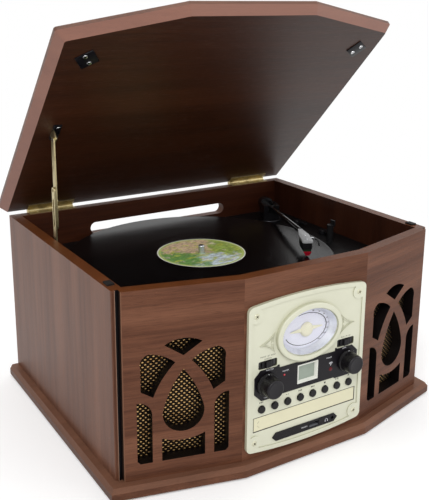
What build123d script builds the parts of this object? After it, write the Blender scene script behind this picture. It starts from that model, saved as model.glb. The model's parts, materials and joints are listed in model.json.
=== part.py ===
from build123d import *
from math import acos, atan2, cos, degrees, hypot, radians, sin, tan
import os

# Stereo music centre: a wooden cabinet with a five-sided front and a hinged lid, holding a record
# deck with its tonearm, two loudspeakers, a tuner dial, a CD drawer and a control fascia.
# Millimetres. X runs to the right, Y to the back and Z up; the origin lies on the floor, in the
# middle of the whole part's box with the lid open.

# ---------------------------------------------------------------- driving dimensions
# Cabinet
facet_rise = 30.0
record_well_depth = 41.2
record_left_room = 8.7
arm_side_room = 51.7
record_back_room = 0.4
record_front_room = 4.0
panel_thickness = 12.0
corner_step = 5.0
corner_strip_width = 5.0
corner_strip_thickness = 1.2
corner_strip_margin = 1.5
edge_round = 1.2

# Base plinth and feet
foot_height = 2.0
foot_radius = 14.0
foot_inset_x = 46.0
foot_inset_back = 34.0
foot_inset_front = 44.0
plinth_thickness = 11.5
plinth_overhang = 10.0
plinth_bevel_width = 3.0
plinth_bevel_height = 4.5

# Lid, its hinges and bumpers
lid_open_angle = 45.6
lid_thickness = 12.0
lid_overhang = 9.0
lid_bevel_width = 8.0
lid_bevel_height = 8.0
lid_corner_radius = 3.0
lid_gap = 2.0
hinge_leaf_thickness = 0.8
hinge_leaf_width = 9.0
hinge_length = 57.0
hinge_spacing = 284.0
hinge_barrel_radius = 2.2
hinge_pin_radius = 1.0
hinge_pin_clearance = 0.08
hinge_knuckles = 7
knuckle_gap = 0.3
bumper_length = 10.0
bumper_width = 7.0
bumper_clearance = 0.3
bumper_from_front = 17.0
strike_plate_side = 19.0
strike_plate_thickness = 1.2
strike_plate_turn = 35.0
strike_plate_x = 166.0
strike_plate_from_corner = 24.0
strike_screw_radius = 2.4
strike_screw_height = 0.8
strike_screw_spacing = 11.0

# Lid stay, two brass arms beside the left side panel
stay_arm_thickness = 1.6
stay_arm_gap = 0.3
stay_arm_width = 7.0
stay_lower_length = 62.0
stay_upper_length = 92.0
stay_slot_start = 23.0
stay_slot_length = 30.0
stay_slot_width = 3.2
stay_pin_radius = 1.8
stay_pin_clearance = 0.08
stay_rivet_distance = 65.0
stay_rivet_radius = 2.6
stay_rivet_height = 1.0
stay_screw_radius = 2.2
stay_tab_width = 12.0
stay_foot_from_back = 113.0
stay_foot_below_top = 10.0
stay_lid_pivot_from_back = 152.5
stay_lid_pivot_drop = 10.0
stay_bracket_length = 24.0
stay_bracket_width = 9.0
stay_bracket_thickness = 1.4

# Record slot in the back panel
slot_width = 193.0
slot_height = 14.0
slot_below_top = 20.7

# Speaker cut-outs, given from their middle line and from the floor
grille_shift = 2.5
grille_border = 16.4
grille_bottom = 29.5
bar_width = 14.5
bar_shoulder = 80.0
bar_peak = 92.0
bar_foot_round = 3.0
bar_rib = 9.0
window_side_top = 53.0
window_dip = 48.5
drop_rib = 10.0
drop_apex = 121.0
drop_middle = 80.0
drop_bottom = 57.5
drop_shoulder_run = 7.2
petal_side_inset = 4.0
petal_tail = 96.0
petal_heel = 103.0
petal_top = 139.5
petal_tip_x = 7.8
petal_tip = 128.5
petal_side_drop = 2.0
petal_crown_run = 8.0
petal_shoulder_run = 2.2
petal_shoulder_drop = 3.0
petal_arch = 2.0
petal_hollow = 4.0
petal_lift = 1.0
fan_half_width = 18.0
fan_shoulder = 146.5
fan_top = 151.5
fan_tip = 134.5
fan_waist_x = 7.6
fan_waist_drop = 1.0
mesh_thickness = 1.0
mesh_margin = 6.0
speaker_radius = 48.0
speaker_flange = 3.0
speaker_depth = 34.0
speaker_magnet_radius = 26.0
speaker_height = 84.0
speaker_border = 8.0
basket_border = 3.0
basket_depth = 21.0
basket_step = 4.0
cone_depth = 17.0
dust_cap_radius = 10.0
surround_depth = 2.0

# Control fascia
fascia_bottom = 22.0
fascia_side_margin = 3.0
fascia_arch = 5.0
fascia_corner = 6.0
fascia_stand = 2.4
fascia_rim_width = 4.5
fascia_rim_height = 1.0
fascia_flange_inset = 8.0
screw_inset = 9.0
screw_boss_radius = 5.5
screw_radius = 3.0
screw_head_height = 1.2
screw_shank_radius = 1.5
screw_length = 10.0
screw_clearance = 0.1
aperture_corner = 16.0

# Tuner dial
dial_over_band = 0.7
dial_top_margin = 7.7
dial_half_width = 40.0
dial_half_height = 29.8
bezel_width = 5.5
bezel_height = 4.5
dial_well_depth = 5.0
dial_well_slope = 4.0
dial_wall = 1.2
scale_thickness = 1.0
lens_thickness = 1.0
lens_inset = 1.0
lens_clearance = 0.2
pointer_hub_radius = 7.5
pointer_half_length = 20.0
pointer_width = 2.4
pointer_thickness = 1.2
pointer_hub_height = 4.5
pointer_hub_round = 2.5
pointer_shaft_tail = 2.0
pointer_clearance = 0.3
pointer_shaft_radius = 2.0

# Knob band, display and knobs
band_side_margin = 8.0
band_height = 28.5
band_over_buttons = 10.6
band_thickness = 1.0
band_end_width = 29.0
band_end_height = 33.0
band_end_drop = 0.3
band_end_cut = 8.0
knob_inset = 14.0
knob_over_middle = 1.25
knob_skirt_radius = 12.0
knob_skirt_height = 3.0
knob_radius = 10.4
knob_tip_radius = 9.6
knob_length = 15.5
knob_round = 2.0
knob_clearance = 0.4
knob_shaft_radius = 3.0
knob_shaft_length = 9.0
shaft_clearance = 0.08
band_arc_clearance = 2.5
band_slot_margin = 1.0
display_width = 26.0
display_height = 20.6
display_over_middle = 0.75
display_frame = 1.8
display_slope = 1.8
display_depth = 4.0
display_glass = 1.0

# Slide switches and push buttons
switch_inset = 23.5
switch_over_band = 7.1
switch_slot_length = 22.0
switch_slot_height = 8.2
switch_travel = 4.0
switch_pocket_depth = 1.6
switch_stem_length = 3.0
switch_stem_height = 2.2
switch_clip_length = 6.0
switch_clip_height = 5.0
switch_clip_thickness = 1.0
switch_thumb_length = 6.0
switch_thumb_height = 6.6
switch_thumb_stand = 2.0
switch_clearance = 0.3
button_count = 8
button_inset = 17.05
button_over_tray = 8.5
button_radius = 3.9
button_proud = 1.0
button_round = 0.6
button_flange_radius = 5.0
button_flange_thickness = 1.0
button_travel = 1.0
button_clearance = 0.25

# CD drawer
tray_height = 14.0
tray_over_strip = 8.3
tray_side_margin = 8.5
tray_edge = 2.7
tray_front_thickness = 3.0
tray_front_round = 0.5
tray_front_web = 2.0
tray_clearance = 0.3
tray_runner_width = 1.6
tray_plate_thickness = 5.0
tray_travel = 118.0
tray_engagement = 24.0
disc_radius = 60.0
disc_recess_margin = 0.8
disc_recess_depth = 1.5
disc_hub_radius = 15.0
mechanism_wall = 2.0
mechanism_lift = 14.0
mechanism_clearance = 0.3
mechanism_foot_radius = 4.0
mechanism_foot_inset = 8.0
mechanism_rear_room = 4.0

# Port strip
strip_width = 82.0
strip_height = 9.0
strip_over_edge = 3.6
strip_cut = 4.0
strip_thickness = 1.0
socket_clearance = 0.1
port_x = 11.0
port_width = 12.4
port_height = 4.8
port_depth = 13.0
port_wall = 1.2
jack_x = 35.0
jack_radius = 1.8
jack_wall = 1.6
jack_depth = 14.0

# Record deck
deck_thickness = 3.0
deck_clearance = 0.3
platter_radius = 112.0
platter_gap = 2.4
platter_thickness = 4.6
platter_rim = 5.0
drive_ring_inset = 30.0
drive_ring_radius = platter_radius - drive_ring_inset
drive_ring_width = 3.0
platter_web = 1.6
mat_margin = 4.0
mat_radius = platter_radius - mat_margin
mat_thickness = 1.2
record_radius = 150.8
record_thickness = 1.6
label_radius = 50.0
label_relief = 0.15
spindle_radius = 3.55
spindle_above_record = 9.0
bearing_radius = 5.0
bearing_wall = 3.0
bearing_depth = 18.0
bearing_floor = 2.0
bearing_end_gap = 0.3
spindle_round = 1.5
mat_hole_clearance = 0.2
motor_radius = 18.0
motor_height = 24.0
motor_inset = 16.0
motor_distance = platter_radius - motor_inset
motor_hole_margin = 1.5
motor_shaft_depth = 12.0
motor_turn = 215.0
pulley_radius = 6.0
pulley_flange = 1.2
pulley_flange_thickness = 0.5
pulley_gap = 0.5
motor_shaft_radius = 1.2
belt_thickness = 0.8
belt_height = 2.0
belt_gap = 0.3

# Tonearm
arm_pivot_inset = 38.0
arm_pivot_from_back = 54.0
arm_base_radius = 17.0
arm_base_height = 3.0
arm_post_radius = 6.0
arm_post_height = 8.0
housing_width = 21.0
housing_length = 24.0
housing_height = 19.0
housing_slot_width = 9.0
housing_slot_drop = 6.0
housing_gap = 0.3
arm_axis_height = 18.7
arm_direction = 21.0
arm_rise = 3.1
arm_tube_radius = 2.4
arm_tube_length = 139.0
arm_tail_length = 27.0
counterweight_radius = 9.0
counterweight_length = 13.0
arm_axle_radius = 1.5
axle_clearance = 0.08
headshell_offset = 6.0
headshell_neck_length = 18.0
headshell_length = 30.0
headshell_width = 12.0
headshell_plate = 2.6
cartridge_length = 24.0
cartridge_width = 10.4
cartridge_height = 10.5
stylus_width = 8.6
stylus_length = 15.0
stylus_tip_radius = 0.5
stylus_tip_length = 1.2
stylus_forward = 2.0
stylus_gap = 0.3
finger_lift_reach = 10.0
finger_lift_thickness = 1.0
finger_lift_width = 3.0
rest_turn = 24.0
rest_distance = 118.0
rest_post_radius = 4.0
rest_cradle_length = 7.0
rest_cradle_thickness = 2.0
rest_cradle_lip = 5.0
rest_clearance = 0.6

# Deck levers
lever_radius = 5.0
lever_height = 5.0
lever_arm_length = 17.0
lever_arm_width = 4.0
lever_arm_thickness = 2.4
lever_stem_radius = 2.0
lever_clearance = 0.3
lever_inset = 17.0
cue_lever_from_back = 140.0
speed_lever_from_back = 88.0

# Inside and rear
batten_side = 12.0
batten_gap = 0.3
board_length = 150.0
board_width = 92.0
board_thickness = 1.6
board_lift = 6.0
board_x = -40.0
standoff_radius = 3.0
standoff_inset = 6.0
chip_side = 16.0
chip_pitch = 26.0
capacitor_radius = 7.0
capacitor_height = 20.0
heatsink_length = 50.0
heatsink_width = 14.0
heatsink_fin = 1.6
heatsink_fin_pitch = 4.0
heatsink_base = 3.0
board_from_back = 40.0
chip_height = 4.0
heatsink_height = 26.0
transformer_length = 56.0
transformer_width = 44.0
transformer_height = 46.0
transformer_chamfer = 4.0
transformer_lug = 8.0
transformer_lug_thickness = 2.0
transformer_x = 118.0
transformer_from_back = 60.0
terminal_width = 84.0
terminal_height = 40.0
terminal_thickness = 2.0
terminal_from_side = 89.0
terminal_z = 60.0
terminal_flange = 6.0
terminal_corner = 4.0
phono_radius = 4.15
phono_length = 6.5
phono_bore_radius = 1.6
phono_spacing = 18.0
gland_radius = 6.0
gland_bore_radius = 3.6
gland_length = 6.0

# ---------------------------------------------------------------- places worked out from them
# The record and the arm beside it set the width and depth inside, and the disc sets the fascia's width.
inner_half_width = (record_left_room + 2 * record_radius + arm_side_room) / 2
terminal_x = inner_half_width - terminal_from_side
half_width = inner_half_width + panel_thickness
spindle_x = record_left_room + record_radius - inner_half_width
arm_pivot_x = inner_half_width - arm_pivot_inset
lever_column_x = inner_half_width - lever_inset
spindle_from_back = record_back_room + record_radius
centre_depth = spindle_from_back + record_radius + record_front_room + panel_thickness
side_depth = centre_depth - facet_rise
tray_width = 2 * (disc_radius + disc_recess_margin + tray_edge)
fascia_width = tray_width + 2 * tray_side_margin
centre_width = fascia_width + 2 * fascia_side_margin
facet_run = half_width - centre_width / 2
facet_angle = atan2(facet_rise, facet_run)

# Heights of the fascia's rows, from its lower edge up.
strip_bottom = fascia_bottom + strip_over_edge
strip_top = strip_bottom + strip_height
tray_bottom = strip_top + tray_over_strip
tray_top = tray_bottom + tray_height
button_z = tray_top + button_over_tray
band_bottom = button_z + band_over_buttons
band_top = band_bottom + band_height
band_middle = (band_bottom + band_top) / 2
knob_height = band_middle + knob_over_middle
band_end_middle = knob_height - band_end_drop
display_middle = band_middle + display_over_middle
switch_z = band_top + switch_over_band
dial_height = band_top + dial_over_band + dial_half_height
fascia_top = dial_height + dial_half_height + dial_top_margin

# Its columns, from its edges in.
band_half_width = fascia_width / 2 - band_side_margin
knob_spacing = 2 * (band_half_width - knob_inset)
switch_x = fascia_width / 2 - switch_inset
button_pitch = 2 * (fascia_width / 2 - button_inset) / (button_count - 1)

# The deck lies just above the speaker meshes, and the cabinet's rim a record well higher.
cabinet_bottom = foot_height + plinth_thickness
mesh_top = fan_top + mesh_margin
deck_under = mesh_top + deck_clearance
deck_top = deck_under + deck_thickness
cabinet_top = deck_top + record_well_depth
slot_top = cabinet_top - slot_below_top
slot_bottom = slot_top - slot_height
tray_length = tray_travel + tray_engagement
button_stand = button_travel + button_proud

open_angle = radians(lid_open_angle)
hinge_out = hinge_barrel_radius + knuckle_gap
hinge_z = cabinet_top + lid_gap / 2
lid_under = lid_gap / 2
front_reach = centre_depth + fascia_stand + band_thickness + knob_clearance + knob_length
rear_reach = hinge_out * (1 - cos(open_angle)) + (lid_under + lid_thickness) * sin(open_angle)
back_y = (front_reach - rear_reach) / 2
hinge_y = back_y + hinge_out
front_y = back_y - centre_depth

facet_plane = Plane(
    origin=((-half_width - centre_width / 2) / 2, back_y - (side_depth + centre_depth) / 2, 0),
    x_dir=(cos(facet_angle), -sin(facet_angle), 0),
    z_dir=(-sin(facet_angle), -cos(facet_angle), 0),
)
fascia_plane = Plane(origin=(0, front_y, 0), x_dir=(1, 0, 0), z_dir=(0, -1, 0))
lid_plane = Plane(
    origin=(0, hinge_y, hinge_z), x_dir=(1, 0, 0), z_dir=(0, sin(open_angle), cos(open_angle))
)
side_plane = Plane(origin=(-inner_half_width, 0, 0), x_dir=(0, 1, 0), z_dir=(1, 0, 0))


def outline(grow, back=0.0):
    """Plan of the cabinet moved outwards by grow at its sides and front, and by back at its rear."""
    corner_y = back_y - side_depth - grow * (1 - sin(facet_angle)) / cos(facet_angle)
    vertex_x = centre_width / 2 + grow * tan(facet_angle / 2)
    vertex_y = front_y - grow
    side_x = half_width + grow
    return [
        (-side_x, back_y + back),
        (-side_x, corner_y),
        (-vertex_x, vertex_y),
        (vertex_x, vertex_y),
        (side_x, corner_y),
        (side_x, back_y + back),
    ]


pieces = {}


# ---------------------------------------------------------------- cabinet
bevel_start = cabinet_bottom - plinth_bevel_height
with BuildPart() as base_plinth:
    with BuildSketch(Plane.XY.offset(foot_height)):
        with BuildLine():
            Polyline(*outline(plinth_overhang), close=True)
        make_face()
    extrude(amount=plinth_thickness - plinth_bevel_height)
    with BuildSketch(Plane.XY.offset(bevel_start)):
        with BuildLine():
            Polyline(*outline(plinth_overhang), close=True)
        make_face()
    with BuildSketch(Plane.XY.offset(cabinet_bottom)):
        with BuildLine():
            Polyline(*outline(plinth_overhang - plinth_bevel_width), close=True)
        make_face()
    loft(ruled=True)
pieces["base_plinth"] = base_plinth

foot_front_y = back_y - side_depth + foot_inset_front
foot_back_y = back_y - foot_inset_back
foot_x = half_width - foot_inset_x
with BuildPart() as feet:
    with BuildSketch(Plane.XY):
        with Locations(*[(x, y) for x in (-foot_x, foot_x) for y in (foot_front_y, foot_back_y)]):
            Circle(foot_radius)
    extrude(amount=foot_height)
pieces["feet"] = feet

panel_front_y = back_y - side_depth + corner_step
with BuildPart() as left_side_panel:
    with BuildSketch(Plane.XY.offset(cabinet_bottom)):
        with BuildLine():
            Polyline(
                (-half_width, back_y),
                (-half_width, panel_front_y),
                (-inner_half_width, panel_front_y),
                (-inner_half_width, back_y),
                close=True,
            )
        make_face()
    extrude(amount=cabinet_top - cabinet_bottom)
    fillet(left_side_panel.edges().filter_by(Axis.Z).group_by(Axis.X)[0], radius=edge_round)
pieces["left_side_panel"] = left_side_panel

with BuildPart() as right_side_panel:
    mirror(left_side_panel.part, about=Plane.YZ)
pieces["right_side_panel"] = right_side_panel

# The black strips lie on the front ends of the side panels, a step back from the front boards.
strip_outer_x = half_width - corner_strip_margin
strip_inner_x = strip_outer_x - corner_strip_width
with BuildPart() as corner_strips:
    with BuildSketch(Plane.XY.offset(cabinet_bottom)):
        for side in (-1, 1):
            with Locations((side * (strip_outer_x + strip_inner_x) / 2, panel_front_y)):
                Rectangle(corner_strip_width, corner_strip_thickness, align=(Align.CENTER, Align.MAX))
    extrude(amount=cabinet_top - cabinet_bottom)
pieces["corner_strips"] = corner_strips


def facet_y(x, depth=0.0):
    """Y of the left front board at x, depth behind its face."""
    along = (-x - centre_width / 2) * tan(facet_angle)
    return front_y + along + depth / cos(facet_angle)


# The cathedral window, about its middle line: two bars, two petals, the window, the drop, the fan.
grille_half_width = hypot(facet_rise, facet_run) / 2 - grille_border
bar_inner = grille_half_width - bar_width
window_half_width = bar_inner - bar_rib
drop_half_width = bar_inner - drop_rib
drop_shoulder_x = drop_half_width - drop_shoulder_run
petal_outer = grille_half_width - petal_side_inset
petal_foot = petal_outer - 0.8 * bar_width
petal_crown = petal_outer - petal_crown_run
petal_inner = (petal_outer + petal_tip_x) / 2
drop_shoulder_z = (drop_apex + drop_middle) / 2
fan_waist_z = (fan_shoulder + fan_tip) / 2 - fan_waist_drop
with BuildSketch() as grille_cut_outs:
    for side in (-1, 1):
        with BuildLine():
            Polyline(
                (side * bar_inner, bar_shoulder),
                (side * bar_inner, grille_bottom),
                (side * (grille_half_width - bar_foot_round), grille_bottom),
                (side * grille_half_width, grille_bottom + bar_foot_round),
                (side * grille_half_width, bar_peak),
            )
            ThreePointArc(
                (side * grille_half_width, bar_peak),
                (side * (bar_inner + 0.3 * bar_width), bar_shoulder + 0.7 * (bar_peak - bar_shoulder)),
                (side * bar_inner, bar_shoulder),
            )
        make_face()
        with BuildLine():
            Polyline(
                (side * petal_foot, petal_tail),
                (side * petal_outer, petal_heel),
                (side * petal_outer, petal_tip - petal_side_drop),
            )
            ThreePointArc(
                (side * petal_outer, petal_tip - petal_side_drop),
                (side * (petal_outer - petal_shoulder_run), petal_top - petal_shoulder_drop),
                (side * petal_crown, petal_top),
            )
            ThreePointArc(
                (side * petal_crown, petal_top),
                (side * 0.8 * petal_inner, (petal_top + petal_tip) / 2 + petal_arch),
                (side * petal_tip_x, petal_tip),
            )
            ThreePointArc(
                (side * petal_tip_x, petal_tip),
                (side * (petal_inner - petal_hollow), (petal_tip + petal_tail) / 2 + petal_lift),
                (side * petal_foot, petal_tail),
            )
        make_face()
    with BuildLine():
        Polyline(
            (-window_half_width, window_side_top),
            (-window_half_width, grille_bottom),
            (window_half_width, grille_bottom),
            (window_half_width, window_side_top),
        )
        ThreePointArc(
            (window_half_width, window_side_top), (0, window_dip), (-window_half_width, window_side_top)
        )
    make_face()
    with BuildLine():
        ThreePointArc(
            (0, drop_apex), (-drop_shoulder_x, drop_shoulder_z), (-drop_half_width, drop_middle)
        )
        ThreePointArc((-drop_half_width, drop_middle), (0, drop_bottom), (drop_half_width, drop_middle))
        ThreePointArc(
            (drop_half_width, drop_middle), (drop_shoulder_x, drop_shoulder_z), (0, drop_apex)
        )
    make_face()
    with BuildLine():
        ThreePointArc((-fan_half_width, fan_shoulder), (0, fan_top), (fan_half_width, fan_shoulder))
        ThreePointArc((fan_half_width, fan_shoulder), (fan_waist_x, fan_waist_z), (0, fan_tip))
        ThreePointArc((0, fan_tip), (-fan_waist_x, fan_waist_z), (-fan_half_width, fan_shoulder))
    make_face()

board_end_x = strip_inner_x
mitre_x = centre_width / 2 - panel_thickness * tan(facet_angle / 2)
with BuildPart() as front_left_board:
    with BuildSketch(Plane.XY.offset(cabinet_bottom)):
        with BuildLine():
            Polyline(
                (-board_end_x, facet_y(-board_end_x)),
                (-centre_width / 2, front_y),
                (-mitre_x, front_y + panel_thickness),
                (-inner_half_width, facet_y(-inner_half_width, panel_thickness)),
                (-inner_half_width, panel_front_y),
                (-board_end_x, panel_front_y),
                close=True,
            )
        make_face()
    extrude(amount=cabinet_top - cabinet_bottom)
    with BuildSketch(facet_plane):
        with Locations((grille_shift, 0)):
            add(grille_cut_outs.sketch)
    extrude(amount=-2 * panel_thickness, mode=Mode.SUBTRACT)
    fillet(front_left_board.edges().filter_by(Axis.Z).sort_by(Axis.X)[0:1], radius=edge_round)
pieces["front_left_board"] = front_left_board

with BuildPart() as front_right_board:
    mirror(front_left_board.part, about=Plane.YZ)
pieces["front_right_board"] = front_right_board

aperture_half_width = fascia_width / 2 - fascia_flange_inset
aperture_bottom = fascia_bottom + fascia_flange_inset / 2
aperture_top = fascia_top - fascia_flange_inset / 2
screw_x = fascia_width / 2 - screw_inset
screw_places = [
    (x, z) for x in (-screw_x, screw_x) for z in (fascia_bottom + screw_inset, fascia_top - screw_inset)
]
with BuildPart() as front_centre_board:
    with BuildSketch(Plane.XY.offset(cabinet_bottom)):
        with BuildLine():
            Polyline(
                (-centre_width / 2, front_y),
                (centre_width / 2, front_y),
                (mitre_x, front_y + panel_thickness),
                (-mitre_x, front_y + panel_thickness),
                close=True,
            )
        make_face()
    extrude(amount=cabinet_top - cabinet_bottom)
    with BuildSketch(fascia_plane):
        with Locations((0, (aperture_bottom + aperture_top) / 2)):
            Rectangle(2 * aperture_half_width, aperture_top - aperture_bottom)
        chamfer(vertices(), length=aperture_corner)
        with Locations(*screw_places):
            Circle(screw_shank_radius + screw_clearance)
    extrude(amount=-panel_thickness, mode=Mode.SUBTRACT)
pieces["front_centre_board"] = front_centre_board

back_panel_front_y = back_y - panel_thickness
rear_plane = Plane(origin=(0, back_y, 0), x_dir=(-1, 0, 0), z_dir=(0, 1, 0))
slot_z = (slot_bottom + slot_top) / 2
terminal_hole_width = terminal_width - 2 * terminal_flange
terminal_hole_height = terminal_height - 2 * terminal_flange
with BuildPart() as back_panel:
    with BuildSketch(Plane.XY.offset(cabinet_bottom)):
        with Locations((0, back_y)):
            Rectangle(2 * inner_half_width, panel_thickness, align=(Align.CENTER, Align.MAX))
    extrude(amount=cabinet_top - cabinet_bottom)
    with BuildSketch(rear_plane):
        with Locations((0, slot_z)):
            SlotOverall(slot_width, slot_top - slot_bottom)
        with Locations((-terminal_x, terminal_z)):
            Rectangle(terminal_hole_width, terminal_hole_height)
    extrude(amount=-panel_thickness, mode=Mode.SUBTRACT)
pieces["back_panel"] = back_panel

batten_inner_y = back_panel_front_y - batten_side - batten_gap
batten_front_y = facet_y(-inner_half_width, panel_thickness + mesh_thickness) + deck_clearance
with BuildPart() as deck_battens:
    with BuildSketch(Plane.XY.offset(deck_under - batten_side)):
        for side in (-1, 1):
            with Locations((side * inner_half_width, (batten_inner_y + batten_front_y) / 2)):
                Rectangle(
                    batten_side,
                    batten_inner_y - batten_front_y,
                    align=(Align.MIN if side < 0 else Align.MAX, Align.CENTER),
                )
        with Locations((0, back_panel_front_y)):
            Rectangle(2 * (inner_half_width - batten_gap), batten_side, align=(Align.CENTER, Align.MAX))
    extrude(amount=batten_side)
pieces["deck_battens"] = deck_battens

# ---------------------------------------------------------------- loudspeakers
mesh_half_width = grille_half_width + mesh_margin
mesh_bottom = grille_bottom - mesh_margin
mesh_plane = facet_plane.offset(-panel_thickness)
with BuildPart() as grille_meshes:
    with BuildSketch(mesh_plane):
        with Locations((grille_shift, (mesh_bottom + mesh_top) / 2)):
            Rectangle(2 * mesh_half_width, mesh_top - mesh_bottom)
    extrude(amount=-mesh_thickness)
    mirror(about=Plane.YZ)
pieces["grille_meshes"] = grille_meshes

speaker_centre = mesh_plane.offset(-mesh_thickness).from_local_coords((grille_shift, speaker_height, 0))
speaker_plane = Plane(origin=speaker_centre, x_dir=facet_plane.y_dir, z_dir=-facet_plane.x_dir)
cone_radius = speaker_radius - speaker_border
with BuildPart() as speakers:
    # Half section of one driver: local Y is its radius line, local -X runs into the cabinet.
    with BuildSketch(Plane(speaker_plane.origin, x_dir=-facet_plane.z_dir, z_dir=facet_plane.x_dir)):
        with BuildLine():
            Polyline(
                (0, cone_radius),
                (0, speaker_radius),
                (speaker_flange, speaker_radius),
                (speaker_flange, speaker_radius - basket_border),
                (basket_depth, speaker_magnet_radius + basket_step),
                (basket_depth, speaker_magnet_radius),
                (speaker_depth, speaker_magnet_radius),
                (speaker_depth, 0),
                (cone_depth, 0),
                (cone_depth, dust_cap_radius),
                (surround_depth, cone_radius - surround_depth),
                close=True,
            )
        make_face()
    revolve(axis=Axis(speaker_plane.origin, facet_plane.z_dir))
    mirror(about=Plane.YZ)
pieces["speakers"] = speakers

# ---------------------------------------------------------------- control fascia
with BuildSketch() as fascia_outline:
    with BuildLine():
        Line((-fascia_width / 2, fascia_bottom), (-fascia_width / 2, fascia_top))
        ThreePointArc(
            (-fascia_width / 2, fascia_top), (0, fascia_top + fascia_arch), (fascia_width / 2, fascia_top)
        )
        Line((fascia_width / 2, fascia_top), (fascia_width / 2, fascia_bottom))
        ThreePointArc(
            (fascia_width / 2, fascia_bottom),
            (0, fascia_bottom - fascia_arch),
            (-fascia_width / 2, fascia_bottom),
        )
    make_face()
    fillet(fascia_outline.vertices(), radius=fascia_corner)

# The panel inside the rim, hollowed round by the four screw bosses.
with BuildSketch() as fascia_field:
    offset(fascia_outline.sketch, amount=-fascia_rim_width)
    with Locations(*screw_places):
        Circle(screw_boss_radius + fascia_rim_width / 2, mode=Mode.SUBTRACT)

opening_half_width = dial_half_width - bezel_width
opening_half_height = dial_half_height - bezel_width
well_half_width = opening_half_width - dial_well_slope
well_half_height = opening_half_height - dial_well_slope
knob_places = [(-knob_spacing / 2, knob_height), (knob_spacing / 2, knob_height)]
switch_places = [(-switch_x, switch_z), (switch_x, switch_z)]
button_start = -button_pitch * (button_count - 1) / 2
button_places = [(button_start + button_pitch * index, button_z) for index in range(button_count)]
tray_middle = (tray_bottom + tray_top) / 2
strip_middle = (strip_bottom + strip_top) / 2
fascia_face = fascia_plane.offset(fascia_stand)
rim_face = fascia_plane.offset(fascia_stand + fascia_rim_height)
bezel_face = fascia_plane.offset(fascia_stand + bezel_height)
well_floor = fascia_plane.offset(fascia_stand - dial_well_depth)
button_hole_radius = button_radius + button_clearance
switch_corner = switch_slot_height / 5
switch_slit_length = switch_stem_length + 2 * (switch_travel + switch_clearance)
switch_slit_height = switch_stem_height + 2 * switch_clearance
shaft_hole_radius = knob_shaft_radius + shaft_clearance

with BuildPart() as control_fascia:
    with BuildSketch(fascia_plane):
        add(fascia_outline.sketch)
    extrude(amount=fascia_stand)
    with BuildSketch(fascia_face):
        add(fascia_outline.sketch)
        add(fascia_field.sketch, mode=Mode.SUBTRACT)
    extrude(amount=fascia_rim_height)
    # Dial bezel and the sloping well behind it
    with BuildSketch(fascia_face):
        with Locations((0, dial_height)):
            Ellipse(dial_half_width, dial_half_height)
    extrude(amount=bezel_height)
    bezel_edge = control_fascia.edges().group_by(Axis.Y)[0]
    fillet(bezel_edge, radius=min(bezel_height, bezel_width) / 2.5)
    with BuildSketch(well_floor):
        with Locations((0, dial_height)):
            Ellipse(well_half_width + dial_wall, well_half_height + dial_wall)
    with BuildSketch(fascia_plane):
        with Locations((0, dial_height)):
            slope_share = (dial_well_depth - fascia_stand) / (dial_well_depth + bezel_height)
            Ellipse(
                well_half_width + dial_wall + slope_share * dial_well_slope,
                well_half_height + dial_wall + slope_share * dial_well_slope,
            )
    loft()
    with BuildSketch(well_floor):
        with Locations((0, dial_height)):
            Ellipse(well_half_width, well_half_height)
    with BuildSketch(bezel_face):
        with Locations((0, dial_height)):
            Ellipse(opening_half_width, opening_half_height)
    loft(mode=Mode.SUBTRACT)
    # Floor of the well, which carries the scale and the pointer's bearing
    with BuildSketch(well_floor):
        with Locations((0, dial_height)):
            Ellipse(well_half_width + dial_wall, well_half_height + dial_wall)
            Circle(pointer_shaft_radius + shaft_clearance, mode=Mode.SUBTRACT)
    extrude(amount=-scale_thickness)
    # Seat of the lens in the bezel's mouth
    with BuildSketch(bezel_face.offset(-lens_inset)):
        with Locations((0, dial_height)):
            Ellipse(opening_half_width + lens_clearance, opening_half_height + lens_clearance)
    extrude(amount=-lens_thickness - lens_clearance, mode=Mode.SUBTRACT)
    # Openings for knob shafts, switches, buttons, display, drawer, port and jack
    with BuildSketch(bezel_face):
        with Locations(*knob_places):
            Circle(shaft_hole_radius)
        with Locations(*switch_places):
            Rectangle(switch_slit_length, switch_slit_height)
        with Locations(*button_places):
            Circle(button_hole_radius)
        with Locations(*screw_places):
            Circle(screw_shank_radius + screw_clearance)
        with Locations((0, display_middle)):
            Rectangle(display_width, display_height)
        with Locations((0, tray_middle)):
            Rectangle(tray_width + 2 * tray_clearance, tray_top - tray_bottom + 2 * tray_clearance)
        with Locations((port_x, strip_middle)):
            Rectangle(
                port_width + 2 * (port_wall + socket_clearance),
                port_height + 2 * (port_wall + socket_clearance),
            )
        with Locations((jack_x, strip_middle)):
            Circle(jack_radius + jack_wall + socket_clearance)
    extrude(amount=-bezel_height - fascia_stand, mode=Mode.SUBTRACT)
    with BuildSketch(fascia_face):
        with Locations(*switch_places):
            RectangleRounded(switch_slot_length, switch_slot_height, switch_corner)
    extrude(amount=-switch_pocket_depth, mode=Mode.SUBTRACT)
pieces["control_fascia"] = control_fascia

with BuildPart() as fascia_screws:
    with BuildSketch(rim_face):
        with Locations(*screw_places):
            Circle(screw_radius)
    extrude(amount=screw_head_height)
    fillet(fascia_screws.edges().group_by(Axis.Y)[0], radius=screw_head_height / 2)
    with BuildSketch(rim_face):
        with Locations(*screw_places):
            Circle(screw_shank_radius)
    extrude(amount=-screw_length)
    with BuildSketch(rim_face.offset(screw_head_height)):
        with Locations(*screw_places):
            Rectangle(screw_radius, screw_radius / 4)
            Rectangle(screw_radius / 4, screw_radius)
    extrude(amount=-screw_head_height / 2, mode=Mode.SUBTRACT)
pieces["fascia_screws"] = fascia_screws

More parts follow.
